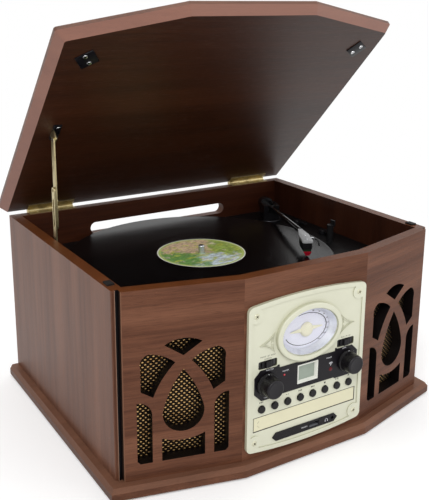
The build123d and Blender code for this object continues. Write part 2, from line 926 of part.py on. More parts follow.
band_end_x = band_half_width - band_end_width / 2
with BuildPart() as knob_band:
    with BuildSketch(fascia_face):
        with Locations((0, (band_top + band_bottom) / 2)):
            Rectangle(2 * band_end_x, band_top - band_bottom)
        with Locations(*[(side * band_end_x, band_end_middle) for side in (-1, 1)]):
            Rectangle(band_end_width, band_end_height)
        chamfer(vertices().sort_by(Axis.X)[:2] + vertices().sort_by(Axis.X)[-2:], length=band_end_cut)
        with Locations((0, dial_height)):
            Ellipse(
                dial_half_width + band_arc_clearance,
                dial_half_height + band_arc_clearance,
                mode=Mode.SUBTRACT,
            )
        with Locations((0, display_middle)):
            Rectangle(display_width, display_height, mode=Mode.SUBTRACT)
        with Locations(*knob_places):
            Circle(shaft_hole_radius, mode=Mode.SUBTRACT)
        with Locations(*switch_places):
            RectangleRounded(
                switch_slot_length + 2 * band_slot_margin,
                switch_slot_height + 2 * band_slot_margin,
                switch_corner,
                mode=Mode.SUBTRACT,
            )
    extrude(amount=band_thickness)
pieces["knob_band"] = knob_band

display_floor = fascia_face.offset(band_thickness - display_depth)
display_inset = display_frame + display_slope
with BuildPart() as display_window:
    with BuildSketch(display_floor.offset(-display_glass)):
        with Locations((0, display_middle)):
            Rectangle(display_width - 2 * deck_clearance, display_height - 2 * deck_clearance)
    extrude(amount=display_depth + display_glass + band_thickness / 2)
    with BuildSketch(display_floor):
        with Locations((0, display_middle)):
            Rectangle(display_width - 2 * display_inset, display_height - 2 * display_inset)
    with BuildSketch(fascia_face.offset(band_thickness + band_thickness / 2)):
        with Locations((0, display_middle)):
            Rectangle(display_width - 2 * display_frame, display_height - 2 * display_frame)
    loft(mode=Mode.SUBTRACT)
pieces["display_window"] = display_window

with BuildPart() as dial_lens:
    with BuildSketch(bezel_face.offset(-lens_inset)):
        with Locations((0, dial_height)):
            Ellipse(opening_half_width, opening_half_height)
    extrude(amount=-lens_thickness)
pieces["dial_lens"] = dial_lens

pointer_floor = well_floor.offset(pointer_clearance)
with BuildPart() as dial_pointer:
    with BuildSketch(pointer_floor):
        with Locations((0, dial_height)):
            Circle(pointer_shaft_radius)
    extrude(amount=-scale_thickness - pointer_clearance - pointer_shaft_tail)
    with BuildSketch(pointer_floor):
        with Locations((0, dial_height)):
            Circle(pointer_hub_radius)
    extrude(amount=pointer_hub_height)
    fillet(dial_pointer.edges().group_by(Axis.Y)[0], radius=pointer_hub_round)
    with BuildSketch(pointer_floor):
        with BuildLine():
            Polyline(
                (-pointer_half_length, dial_height),
                (0, dial_height + pointer_width / 2),
                (pointer_half_length, dial_height),
                (0, dial_height - pointer_width / 2),
                close=True,
            )
        make_face()
    extrude(amount=pointer_thickness)
pieces["dial_pointer"] = dial_pointer

with BuildPart() as port_strip:
    with BuildSketch(fascia_face):
        with Locations((0, strip_middle)):
            Rectangle(strip_width, strip_top - strip_bottom)
        chamfer(vertices(), length=strip_cut)
        with Locations((port_x, strip_middle)):
            Rectangle(port_width, port_height, mode=Mode.SUBTRACT)
        with Locations((jack_x, strip_middle)):
            Circle(jack_radius, mode=Mode.SUBTRACT)
    extrude(amount=strip_thickness)
    with BuildSketch(fascia_face):
        with Locations((port_x, strip_middle)):
            Rectangle(port_width + 2 * port_wall, port_height + 2 * port_wall)
    extrude(amount=-port_depth - port_wall)
    with BuildSketch(fascia_face):
        with Locations((jack_x, strip_middle)):
            Circle(jack_radius + jack_wall)
    extrude(amount=-jack_depth - jack_wall)
    with BuildSketch(fascia_face):
        with Locations((port_x, strip_middle)):
            Rectangle(port_width, port_height)
    extrude(amount=-port_depth, mode=Mode.SUBTRACT)
    with BuildSketch(fascia_face):
        with Locations((jack_x, strip_middle)):
            Circle(jack_radius)
    extrude(amount=-jack_depth, mode=Mode.SUBTRACT)
pieces["port_strip"] = port_strip

# ---------------------------------------------------------------- knobs, switches and buttons
knob_floor = fascia_face.offset(band_thickness + knob_clearance)
for knob_name, knob_x in (("volume_knob", -knob_spacing / 2), ("tuning_knob", knob_spacing / 2)):
    with BuildPart() as knob:
        with BuildSketch(knob_floor):
            with Locations((knob_x, knob_height)):
                Circle(knob_skirt_radius)
        extrude(amount=knob_skirt_height, taper=8)
        with BuildSketch(knob_floor.offset(knob_skirt_height)):
            with Locations((knob_x, knob_height)):
                Circle(knob_radius)
        with BuildSketch(knob_floor.offset(knob_length)):
            with Locations((knob_x, knob_height)):
                Circle(knob_tip_radius)
        loft()
        fillet(knob.edges().group_by(Axis.Y)[0], radius=knob_round)
        with BuildSketch(knob_floor):
            with Locations((knob_x, knob_height)):
                Circle(knob_shaft_radius)
        extrude(amount=-knob_shaft_length)
    pieces[knob_name] = knob

# Each slider lies in its pocket; its stem passes the slit and a clip behind holds it in.
switch_base_length = switch_slot_length - 2 * (switch_travel + switch_clearance)
switch_base_height = switch_slot_height - 2 * switch_clearance
pocket_floor = fascia_face.offset(-switch_pocket_depth)
clip_face = fascia_plane.offset(-switch_clearance)
for switch_name, middle_x in (("function_switch", -switch_x), ("band_switch", switch_x)):
    with BuildPart() as switch:
        with BuildSketch(pocket_floor.offset(switch_clearance)):
            with Locations((middle_x, switch_z)):
                RectangleRounded(switch_base_length, switch_base_height, switch_corner)
        extrude(amount=switch_pocket_depth - switch_clearance)
        with BuildSketch(fascia_face):
            with Locations((middle_x, switch_z)):
                Rectangle(switch_thumb_length, switch_thumb_height)
        extrude(amount=switch_thumb_stand)
        fillet(switch.edges().group_by(Axis.Y)[0], radius=switch_thumb_stand / 4)
        with BuildSketch(clip_face):
            with Locations((middle_x, switch_z)):
                Rectangle(switch_stem_length, switch_stem_height)
        extrude(amount=fascia_stand)
        with BuildSketch(clip_face):
            with Locations((middle_x, switch_z)):
                Rectangle(switch_clip_length, switch_clip_height)
        extrude(amount=-switch_clip_thickness)
    pieces[switch_name] = switch

button_floor = fascia_plane.offset(-button_clearance)
button_reach = button_clearance + fascia_stand + button_stand
for index, place in enumerate(button_places):
    with BuildPart() as button:
        with BuildSketch(button_floor):
            with Locations(place):
                Circle(button_flange_radius)
        extrude(amount=-button_flange_thickness)
        with BuildSketch(button_floor):
            with Locations(place):
                Circle(button_radius)
        extrude(amount=button_reach)
        fillet(button.edges().group_by(Axis.Y)[0], radius=button_round)
    pieces[f"push_button_{index + 1}"] = button

# ---------------------------------------------------------------- CD drawer
disc_centre_depth = tray_front_thickness + disc_recess_margin + disc_radius + tray_front_web
tray_plate_top = tray_middle + tray_plate_thickness / 2
tray_front_y = front_y - fascia_stand
with BuildPart() as cd_tray:
    with BuildSketch(fascia_face):
        with Locations((0, tray_middle)):
            Rectangle(tray_width, tray_top - tray_bottom)
    extrude(amount=-tray_front_thickness)
    fillet(cd_tray.edges().group_by(Axis.Y)[0], radius=tray_front_round)
    with BuildSketch(fascia_face.offset(-tray_front_thickness)):
        with Locations((0, tray_middle)):
            Rectangle(tray_width - 2 * tray_clearance, tray_plate_thickness)
        for side in (-1, 1):
            with Locations((side * (tray_width / 2 - tray_clearance - tray_runner_width / 2), tray_middle)):
                Rectangle(tray_runner_width, tray_top - tray_bottom - 2 * tray_clearance)
    extrude(amount=-tray_length)
    with BuildSketch(Plane.XY.offset(tray_plate_top)):
        with Locations((0, tray_front_y + disc_centre_depth)):
            Circle(disc_radius + disc_recess_margin)
    extrude(amount=-disc_recess_depth, mode=Mode.SUBTRACT)
    with BuildSketch(Plane.XY.offset(tray_plate_top)):
        with Locations((0, tray_front_y + disc_centre_depth)):
            Circle(disc_hub_radius)
        with Locations((0, tray_front_y + disc_centre_depth + disc_radius / 2)):
            Rectangle(2 * disc_hub_radius, disc_radius)
    extrude(amount=-tray_plate_thickness, mode=Mode.SUBTRACT)
pieces["cd_tray"] = cd_tray

# The drawer runs in a closed case that stands on the cabinet floor behind the front board.
mechanism_front_y = front_y + panel_thickness + mechanism_clearance
mechanism_width = tray_width + 2 * mechanism_wall
mechanism_bottom = tray_middle - mechanism_lift
mechanism_rear_y = tray_front_y + tray_front_thickness + tray_length + mechanism_rear_room
mechanism_length = mechanism_rear_y - mechanism_front_y
with BuildPart() as cd_mechanism:
    with BuildSketch(Plane.XY.offset(mechanism_bottom)):
        with Locations((0, mechanism_front_y)):
            Rectangle(mechanism_width, mechanism_length, align=(Align.CENTER, Align.MIN))
    extrude(amount=2 * mechanism_lift)
    with BuildSketch(Plane.XY.offset(tray_bottom)):
        with Locations((0, mechanism_front_y)):
            Rectangle(tray_width, mechanism_length - mechanism_wall, align=(Align.CENTER, Align.MIN))
    extrude(amount=tray_top - tray_bottom, mode=Mode.SUBTRACT)
    with BuildSketch(Plane.XY.offset(mechanism_bottom)):
        with Locations((0, mechanism_front_y + mechanism_length / 2)):
            with GridLocations(
                mechanism_width - 2 * mechanism_foot_inset, mechanism_length - 2 * mechanism_foot_inset, 2, 2
            ):
                Circle(mechanism_foot_radius)
    extrude(amount=cabinet_bottom - mechanism_bottom)
pieces["cd_mechanism"] = cd_mechanism

# ---------------------------------------------------------------- lid
lid_bevel_outline = outline(lid_overhang - lid_bevel_width)
lid_full_outline = outline(lid_overhang)
with BuildPart() as lid_panel:
    for level, plan in ((0, lid_bevel_outline), (lid_bevel_height, lid_full_outline)):
        with BuildSketch(lid_plane.offset(lid_under + level)):
            with BuildLine():
                Polyline(*[(x, y - hinge_y) for x, y in plan], close=True)
            make_face()
            fillet(vertices().sort_by(Axis.Y)[:-2], radius=lid_corner_radius)
    loft(ruled=True)
    with BuildSketch(lid_plane.offset(lid_under + lid_bevel_height)):
        with BuildLine():
            Polyline(*[(x, y - hinge_y) for x, y in lid_full_outline], close=True)
        make_face()
        fillet(vertices().sort_by(Axis.Y)[:-2], radius=lid_corner_radius)
    extrude(amount=lid_thickness - lid_bevel_height)
pieces["lid_panel"] = lid_panel

hinge_places = (-hinge_spacing / 2, hinge_spacing / 2)
knuckle_pitch = hinge_length / hinge_knuckles
knuckle_length = knuckle_pitch - knuckle_gap


def knuckle_middles(middle_x, first):
    """Middles along X of every second knuckle of the hinge at middle_x."""
    start = middle_x - hinge_length / 2
    return [start + knuckle_pitch * (index + 0.5) for index in range(first, hinge_knuckles, 2)]


axis_to_leaf = hinge_z - cabinet_top
with BuildPart() as cabinet_hinge_leaves:
    for middle_x in hinge_places:
        with BuildSketch(Plane.XY.offset(cabinet_top)):
            with Locations((middle_x, back_y)):
                Rectangle(hinge_length, hinge_leaf_width, align=(Align.CENTER, Align.MAX))
        extrude(amount=hinge_leaf_thickness)
        for x in knuckle_middles(middle_x, 0):
            with BuildSketch(Plane(origin=(x, hinge_y, hinge_z), x_dir=(0, 1, 0), z_dir=(1, 0, 0))):
                Circle(hinge_barrel_radius)
                with Locations((0, -axis_to_leaf)):
                    Rectangle(hinge_out, hinge_leaf_thickness, align=(Align.MAX, Align.MIN))
            extrude(amount=knuckle_length / 2, both=True)
        with BuildSketch(Plane(origin=(middle_x, hinge_y, hinge_z), x_dir=(0, 1, 0), z_dir=(1, 0, 0))):
            Circle(hinge_pin_radius)
        extrude(amount=hinge_length / 2 - knuckle_gap, both=True)
pieces["cabinet_hinge_leaves"] = cabinet_hinge_leaves

with BuildPart() as lid_hinge_leaves:
    for middle_x in hinge_places:
        with BuildSketch(lid_plane.offset(lid_under)):
            with Locations((middle_x, -hinge_out)):
                Rectangle(hinge_length, hinge_leaf_width, align=(Align.CENTER, Align.MAX))
        extrude(amount=-hinge_leaf_thickness)
        for x in knuckle_middles(middle_x, 1):
            with BuildSketch(Plane(origin=(x, hinge_y, hinge_z), x_dir=lid_plane.y_dir, z_dir=(1, 0, 0))):
                Circle(hinge_barrel_radius)
                with Locations((0, lid_under)):
                    Rectangle(hinge_out, hinge_leaf_thickness, align=(Align.MAX, Align.MAX))
                Circle(hinge_pin_radius + hinge_pin_clearance, mode=Mode.SUBTRACT)
            extrude(amount=knuckle_length / 2, both=True)
pieces["lid_hinge_leaves"] = lid_hinge_leaves

bumper_x = half_width - panel_thickness / 2
with BuildPart() as lid_bumpers:
    with BuildSketch(Plane.XY.offset(cabinet_top)):
        with Locations(*[(side * bumper_x, panel_front_y + bumper_from_front) for side in (-1, 1)]):
            Rectangle(bumper_width, bumper_length)
    extrude(amount=lid_gap - bumper_clearance)
pieces["lid_bumpers"] = lid_bumpers

strike_y = back_y - side_depth + strike_plate_from_corner - hinge_y
with BuildPart() as lid_strike_plates:
    for side in (-1, 1):
        place = (side * strike_plate_x, strike_y)
        with BuildSketch(lid_plane.offset(lid_under)):
            with Locations(Location(place, side * strike_plate_turn)):
                Rectangle(strike_plate_side, strike_plate_side)
        extrude(amount=-strike_plate_thickness)
        with BuildSketch(lid_plane.offset(lid_under - strike_plate_thickness)):
            with Locations(Location(place, side * strike_plate_turn)):
                with Locations((0, -strike_screw_spacing / 2), (0, strike_screw_spacing / 2)):
                    Circle(strike_screw_radius)
        extrude(amount=-strike_screw_height)
pieces["lid_strike_plates"] = lid_strike_plates

# ---------------------------------------------------------------- lid stay
# Both arms fold beside the left side panel; places below are (Y, Z) pairs.
stay_foot = (back_y - stay_foot_from_back, cabinet_top - stay_foot_below_top)
stay_pivot_y = back_y - stay_lid_pivot_from_back - hinge_y
stay_pivot_z = lid_under - stay_lid_pivot_drop
stay_top = lid_plane.from_local_coords((0, stay_pivot_y, stay_pivot_z))
stay_reach = hypot(stay_top.Y - stay_foot[0], stay_top.Z - stay_foot[1])
stay_along_y = (stay_top.Y - stay_foot[0]) / stay_reach
stay_along_z = (stay_top.Z - stay_foot[1]) / stay_reach
lower_arm_x = -inner_half_width + stay_bracket_thickness + stay_arm_gap
upper_arm_x = lower_arm_x + stay_arm_thickness + stay_arm_gap
lid_bracket_x = upper_arm_x + stay_arm_thickness + stay_arm_gap
pin_hole_radius = stay_pin_radius + stay_pin_clearance


def stay_plane(x, origin, forward):
    """Plane whose local Y runs along the arm, from origin up (forward 1) or down (forward -1)."""
    return Plane(
        origin=(x, *origin), x_dir=(0, forward * stay_along_z, -forward * stay_along_y), z_dir=(1, 0, 0)
    )


with BuildPart() as stay_lower_arm:
    with BuildSketch(stay_plane(lower_arm_x, stay_foot, 1)):
        with Locations(Location((0, stay_lower_length / 2), 90)):
            SlotCenterToCenter(stay_lower_length, stay_arm_width)
        with Locations(Location((0, stay_slot_start + stay_slot_length / 2), 90)):
            SlotOverall(stay_slot_length, stay_slot_width, mode=Mode.SUBTRACT)
        Circle(pin_hole_radius, mode=Mode.SUBTRACT)
        with Locations((0, stay_lower_length)):
            Circle(stay_slot_width / 2, mode=Mode.SUBTRACT)
    extrude(amount=stay_arm_thickness)
pieces["stay_lower_arm"] = stay_lower_arm

with BuildPart() as stay_upper_arm:
    with BuildSketch(stay_plane(upper_arm_x, (stay_top.Y, stay_top.Z), -1)):
        with Locations(Location((0, stay_upper_length / 2), 90)):
            SlotCenterToCenter(stay_upper_length, stay_arm_width)
        Circle(pin_hole_radius, mode=Mode.SUBTRACT)
    extrude(amount=stay_arm_thickness)
    with BuildSketch(stay_plane(upper_arm_x + stay_arm_thickness, (stay_top.Y, stay_top.Z), -1)):
        with Locations((0, stay_rivet_distance)):
            Circle(stay_rivet_radius)
    extrude(amount=stay_rivet_height)
    fillet(stay_upper_arm.edges().group_by(Axis.X)[-1], radius=stay_rivet_height / 2)
pieces["stay_upper_arm"] = stay_upper_arm

with BuildPart() as stay_wall_bracket:
    with BuildSketch(side_plane):
        with Locations((stay_foot[0], stay_foot[1])):
            Rectangle(stay_bracket_length, stay_bracket_width)
        fillet(vertices(), radius=stay_bracket_width / 3)
    extrude(amount=stay_bracket_thickness)
    with BuildSketch(side_plane):
        with Locations((stay_foot[0], stay_foot[1])):
            Circle(stay_pin_radius)
    extrude(amount=stay_bracket_thickness + stay_arm_gap + stay_arm_thickness)
pieces["stay_wall_bracket"] = stay_wall_bracket

with BuildPart() as stay_lid_bracket:
    with BuildSketch(lid_plane.offset(lid_under)):
        with Locations((lid_bracket_x, stay_pivot_y)):
            Rectangle(stay_bracket_width, stay_bracket_length, align=(Align.MIN, Align.CENTER))
    extrude(amount=-stay_bracket_thickness)
    with BuildSketch(lid_plane.offset(lid_under)):
        with Locations((lid_bracket_x, stay_pivot_y)):
            Rectangle(stay_bracket_thickness, stay_tab_width, align=(Align.MIN, Align.CENTER))
    extrude(amount=-stay_lid_pivot_drop - stay_arm_width / 2)
    with BuildSketch(
        Plane(origin=(upper_arm_x, stay_top.Y, stay_top.Z), x_dir=lid_plane.y_dir, z_dir=(1, 0, 0))
    ):
        Circle(stay_pin_radius)
    extrude(amount=stay_arm_thickness + stay_arm_gap)
    bracket_screw_x = lid_bracket_x + (stay_bracket_thickness + stay_bracket_width) / 2
    with BuildSketch(lid_plane.offset(lid_under - stay_bracket_thickness)):
        for side in (-1, 1):
            with Locations((bracket_screw_x, stay_pivot_y + side * stay_bracket_length / 3)):
                Circle(stay_screw_radius)
    extrude(amount=-strike_screw_height)
pieces["stay_lid_bracket"] = stay_lid_bracket

# ---------------------------------------------------------------- record deck
spindle_y = back_y - spindle_from_back
spindle = (spindle_x, spindle_y)
platter_bottom = deck_top + platter_gap
platter_top = platter_bottom + platter_thickness
mat_top = platter_top + mat_thickness
record_top = mat_top + record_thickness
motor_x = spindle_x + motor_distance * cos(radians(motor_turn))
motor_y = spindle_y + motor_distance * sin(radians(motor_turn))
arm_pivot_y = back_y - arm_pivot_from_back
cue_lever = (lever_column_x, back_y - cue_lever_from_back)
speed_lever = (lever_column_x, back_y - speed_lever_from_back)
arm_angle = radians(arm_direction)
parked_angle = radians(arm_direction - rest_turn)
rest_x = arm_pivot_x - rest_distance * sin(parked_angle)
rest_y = arm_pivot_y - rest_distance * cos(parked_angle)

deck_edge_x = inner_half_width - deck_clearance
deck_back_y = back_panel_front_y - deck_clearance
deck_edge_y = facet_y(-deck_edge_x, panel_thickness + deck_clearance)
deck_front_y = front_y + panel_thickness + deck_clearance
deck_mitre_x = centre_width / 2 - (panel_thickness + deck_clearance) * tan(facet_angle / 2)
with BuildPart() as deck_plate:
    with BuildSketch(Plane.XY.offset(deck_under)):
        with BuildLine():
            Polyline(
                (-deck_edge_x, deck_back_y),
                (-deck_edge_x, deck_edge_y),
                (-deck_mitre_x, deck_front_y),
                (deck_mitre_x, deck_front_y),
                (deck_edge_x, deck_edge_y),
                (deck_edge_x, deck_back_y),
                close=True,
            )
        make_face()
    extrude(amount=deck_thickness)
    with BuildSketch(Plane.XY.offset(deck_top)):
        with Locations(spindle):
            Circle(bearing_radius + bearing_wall)
    extrude(amount=-bearing_depth - bearing_floor)
    with BuildSketch(Plane.XY.offset(deck_top)):
        with Locations(spindle):
            Circle(bearing_radius)
    extrude(amount=-bearing_depth, mode=Mode.SUBTRACT)
    with BuildSketch(Plane.XY.offset(deck_top)):
        with Locations((motor_x, motor_y)):
            Circle(motor_shaft_radius + motor_hole_margin)
        with Locations(cue_lever, speed_lever):
            Circle(lever_stem_radius + shaft_clearance)
    extrude(amount=-deck_thickness, mode=Mode.SUBTRACT)
pieces["deck_plate"] = deck_plate

with BuildPart() as platter:
    with BuildSketch(Plane.XY.offset(platter_top)):
        with Locations(spindle):
            Circle(platter_radius)
    extrude(amount=-platter_thickness)
    with BuildSketch(Plane.XY.offset(platter_bottom)):
        with Locations(spindle):
            Circle(platter_radius - platter_rim)
            Circle(drive_ring_radius, mode=Mode.SUBTRACT)
            Circle(drive_ring_radius - drive_ring_width)
            Circle(bearing_radius + bearing_wall, mode=Mode.SUBTRACT)
    extrude(amount=platter_thickness - platter_web, mode=Mode.SUBTRACT)
    with BuildSketch(Plane.XY.offset(platter_bottom)):
        with Locations(spindle):
            Circle(bearing_radius - shaft_clearance)
    extrude(amount=-platter_gap - bearing_depth + bearing_end_gap)
    with BuildSketch(Plane.XY.offset(platter_top)):
        with Locations(spindle):
            Circle(spindle_radius)
    extrude(amount=record_top - platter_top + spindle_above_record)
    fillet(platter.edges().group_by(Axis.Z)[-1], radius=spindle_round)
pieces["platter"] = platter

with BuildPart() as platter_mat:
    with BuildSketch(Plane.XY.offset(platter_top)):
        with Locations(spindle):
            Circle(mat_radius)
            Circle(spindle_radius + mat_hole_clearance, mode=Mode.SUBTRACT)
    extrude(amount=mat_thickness)
pieces["platter_mat"] = platter_mat

with BuildPart() as record:
    with BuildSketch(Plane.XY.offset(mat_top)):
        with Locations(spindle):
            Circle(record_radius)
    extrude(amount=record_thickness)
    fillet(record.edges(), radius=record_thickness / 4)
    with BuildSketch(Plane.XY.offset(record_top)):
        with Locations(spindle):
            Circle(label_radius)
    extrude(amount=label_relief)
    with BuildSketch(Plane.XY.offset(mat_top)):
        with Locations(spindle):
            Circle(spindle_radius + shaft_clearance)
    extrude(amount=record_thickness + label_relief, mode=Mode.SUBTRACT)
pieces["record"] = record

with BuildPart() as platter_motor:
    with BuildSketch(Plane.XY.offset(deck_under)):
        with Locations((motor_x, motor_y)):
            Circle(motor_radius)
            Circle(motor_shaft_radius + shaft_clearance, mode=Mode.SUBTRACT)
    extrude(amount=-motor_height)
pieces["platter_motor"] = platter_motor

# The pulley and its shaft turn in the motor, under the platter's web.
pulley_bottom = platter_bottom - pulley_flange_thickness
pulley_top = platter_top - platter_web - pulley_gap
with BuildPart() as motor_pulley:
    with BuildSketch(Plane.XY.offset(pulley_bottom)):
        with Locations((motor_x, motor_y)):
            Circle(pulley_radius)
    extrude(amount=pulley_top - pulley_bottom)
    for level in (pulley_bottom, pulley_top - pulley_flange_thickness):
        with BuildSketch(Plane.XY.offset(level)):
            with Locations((motor_x, motor_y)):
                Circle(pulley_radius + pulley_flange)
        extrude(amount=pulley_flange_thickness)
    with BuildSketch(Plane.XY.offset(pulley_bottom)):
        with Locations((motor_x, motor_y)):
            Circle(motor_shaft_radius)
    extrude(amount=deck_under - motor_shaft_depth - pulley_bottom)
pieces["motor_pulley"] = motor_pulley


def belt_outline(grow):
    """Hull of the drive ring and the pulley, both moved out by grow."""
    ring = drive_ring_radius + grow
    wheel = pulley_radius + grow
    lean = degrees(acos((ring - wheel) / motor_distance))
    corners = []
    for radius, x in ((ring, 0), (wheel, motor_distance)):
        for sign in (-1, 1):
            corners.append((x + radius * cos(radians(lean)), sign * radius * sin(radians(lean))))
    with BuildSketch() as hull:
        Circle(ring)
        with Locations((motor_distance, 0)):
            Circle(wheel)
        with BuildLine():
            Polyline(corners[0], corners[1], corners[3], corners[2], close=True)
        make_face()
    return hull.sketch


belt_middle = (pulley_bottom + pulley_top) / 2
belt_inner = belt_outline(belt_gap)
belt_outer = belt_outline(belt_gap + belt_thickness)
with BuildPart() as drive_belt:
    with BuildSketch(Plane.XY.offset(belt_middle - belt_height / 2)):
        with Locations(Location(spindle, motor_turn)):
            add(belt_outer)
            add(belt_inner, mode=Mode.SUBTRACT)
    extrude(amount=belt_height)
pieces["drive_belt"] = drive_belt

for lever_name, (lever_x, lever_y) in (("cue_lever", cue_lever), ("speed_lever", speed_lever)):
    with BuildPart() as lever:
        with BuildSketch(Plane.XY.offset(deck_top + lever_clearance)):
            with Locations((lever_x, lever_y)):
                Circle(lever_radius)
        extrude(amount=lever_height)
        fillet(lever.edges().group_by(Axis.Z)[-1], radius=lever_arm_thickness / 3)
        with BuildSketch(Plane.XY.offset(deck_top + lever_clearance + lever_height)):
            with Locations((lever_x, lever_y - lever_arm_length / 2)):
                SlotCenterToCenter(lever_arm_length, lever_arm_width, rotation=90)
        extrude(amount=-lever_arm_thickness)
        with BuildSketch(Plane.XY.offset(deck_top + lever_clearance)):
            with Locations((lever_x, lever_y)):
                Circle(lever_stem_radius)
        extrude(amount=-lever_clearance - 2 * deck_thickness)
    pieces[lever_name] = lever

# ---------------------------------------------------------------- tonearm
# Local X of the arm's planes lies across the arm, local -Y along it from the pivot to the head.
arm_axis_z = deck_top + arm_axis_height
arm_across = (cos(arm_angle), -sin(arm_angle), 0)
rise = radians(arm_rise)
arm_forward = (-sin(arm_angle) * cos(rise), -cos(arm_angle) * cos(rise), sin(rise))
arm_plane = Plane(origin=(arm_pivot_x, arm_pivot_y, 0), x_dir=arm_across, z_dir=(0, 0, 1))
tube_plane = Plane(origin=(arm_pivot_x, arm_pivot_y, arm_axis_z), x_dir=arm_across, z_dir=arm_forward)
arm_base_top = deck_top + arm_base_height
housing_bottom = arm_base_top + housing_gap

with BuildPart() as tonearm_base:
    with BuildSketch(Plane.XY.offset(deck_top)):
        with Locations((arm_pivot_x, arm_pivot_y)):
            Circle(arm_base_radius)
    extrude(amount=arm_base_height)
    fillet(tonearm_base.edges().group_by(Axis.Z)[-1], radius=arm_base_height / 3)
    with BuildSketch(Plane.XY.offset(arm_base_top)):
        with Locations((arm_pivot_x, arm_pivot_y)):
            Circle(arm_post_radius)
    extrude(amount=arm_post_height)
pieces["tonearm_base"] = tonearm_base

with BuildPart() as arm_housing:
    with BuildSketch(arm_plane.offset(housing_bottom)):
        RectangleRounded(housing_width, housing_length, edge_round)
    extrude(amount=housing_height)
    with BuildSketch(arm_plane.offset(housing_bottom)):
        Circle(arm_post_radius + shaft_clearance)
    extrude(amount=arm_post_height, mode=Mode.SUBTRACT)
    with BuildSketch(arm_plane.offset(arm_axis_z - housing_slot_drop)):
        Rectangle(housing_slot_width, housing_length)
    extrude(amount=housing_height, mode=Mode.SUBTRACT)
    with BuildSketch(Plane(tube_plane.origin, x_dir=(0, 0, 1), z_dir=arm_across)):
        Circle(arm_axle_radius + axle_clearance)
    extrude(amount=housing_width, both=True, mode=Mode.SUBTRACT)
pieces["arm_housing"] = arm_housing

with BuildPart() as arm_tube:
    with BuildSketch(tube_plane.offset(-arm_tail_length)):
        Circle(arm_tube_radius)
    extrude(amount=arm_tail_length + arm_tube_length)
    with BuildSketch(tube_plane.offset(-arm_tail_length)):
        Circle(counterweight_radius)
    extrude(amount=counterweight_length)
    with BuildSketch(Plane(tube_plane.origin, x_dir=(0, 0, 1), z_dir=arm_across)):
        Circle(arm_axle_radius)
    extrude(amount=housing_width / 2, both=True)
pieces["arm_tube"] = arm_tube

# The head stands level at the tube's end, turned a little further inwards.
head_angle = radians(arm_direction + headshell_offset)
head_x = arm_pivot_x + arm_tube_length * arm_forward[0]
head_y = arm_pivot_y + arm_tube_length * arm_forward[1]
head_z = arm_axis_z + arm_tube_length * arm_forward[2]
head_plane = Plane(
    origin=(head_x, head_y, head_z), x_dir=(cos(head_angle), -sin(head_angle), 0), z_dir=(0, 0, 1)
)
head_top = arm_tube_radius
neck_start = arm_tube_radius * tan(rise + radians(headshell_offset))
head_end = headshell_neck_length + headshell_length
plate_under = head_top - headshell_plate
cartridge_middle = head_end - stylus_forward - cartridge_length / 2
with BuildPart() as headshell:
    with BuildSketch(head_plane.offset(head_top)):
        with BuildLine():
            Polyline(
                (-arm_tube_radius, -neck_start),
                (-headshell_width / 2, -headshell_neck_length),
                (-headshell_width / 2, -head_end),
                (headshell_width / 2, -head_end),
                (headshell_width / 2, -headshell_neck_length),
                (arm_tube_radius, -neck_start),
                close=True,
            )
        make_face()
    extrude(amount=-headshell_plate)
    with BuildSketch(head_plane.offset(plate_under)):
        with Locations((0, -cartridge_middle)):
            Rectangle(cartridge_width, cartridge_length)
    extrude(amount=-cartridge_height)
    fillet(headshell.edges().group_by(Axis.Z)[0], radius=finger_lift_thickness)
    lift_plane = Plane(
        head_plane.from_local_coords((0, -cartridge_middle - finger_lift_width / 2, 0)),
        x_dir=head_plane.x_dir,
        z_dir=-head_plane.y_dir,
    )
    with BuildSketch(lift_plane):
        with Locations((headshell_width / 2, head_top - finger_lift_reach)):
            Circle(finger_lift_reach)
            Circle(finger_lift_reach - finger_lift_thickness, mode=Mode.SUBTRACT)
            for align in ((Align.MAX, Align.CENTER), (Align.CENTER, Align.MAX)):
                Rectangle(2 * finger_lift_reach, 2 * finger_lift_reach, align=align, mode=Mode.SUBTRACT)
    extrude(amount=-finger_lift_width)
pieces["headshell"] = headshell

stylus_top = plate_under - cartridge_height
stylus_foot = record_top + stylus_gap - head_z
with BuildPart() as stylus:
    with BuildSketch(head_plane.offset(stylus_top)):
        with Locations((0, -head_end + stylus_length / 2)):
            Rectangle(stylus_width, stylus_length)
    with BuildSketch(head_plane.offset(stylus_foot + stylus_tip_length)):
        with Locations((0, -head_end + stylus_length / 3)):
            Rectangle(stylus_width / 2, stylus_length / 2)
    loft()
    with BuildSketch(head_plane.offset(stylus_foot)):
        with Locations((0, -head_end + stylus_length / 3)):
            Circle(stylus_tip_radius)
    extrude(amount=2 * stylus_tip_length)
pieces["stylus"] = stylus

# The rest is a post with a cradle under the parked tube and a lip on its outer side.
parked_axis_z = arm_axis_z + rest_distance * tan(rise)
cradle_top = parked_axis_z - arm_tube_radius - rest_clearance
rest_plane = Plane(
    origin=(rest_x, rest_y, 0), x_dir=(cos(parked_angle), -sin(parked_angle), 0), z_dir=(0, 0, 1)
)
lip_x = arm_tube_radius + rest_clearance
with BuildPart() as tonearm_rest:
    with BuildSketch(rest_plane.offset(deck_top)):
        Circle(rest_post_radius)
    extrude(amount=cradle_top - deck_top)
    with BuildSketch(rest_plane.offset(cradle_top)):
        with Locations((lip_x + rest_cradle_thickness, 0)):
            Rectangle(
                2 * lip_x + rest_cradle_thickness, rest_cradle_length, align=(Align.MAX, Align.CENTER)
            )
    extrude(amount=-rest_cradle_thickness)
    with BuildSketch(rest_plane.offset(cradle_top)):
        with Locations((lip_x, 0)):
            Rectangle(rest_cradle_thickness, rest_cradle_length, align=(Align.MIN, Align.CENTER))
    extrude(amount=rest_cradle_lip)
pieces["tonearm_rest"] = tonearm_rest

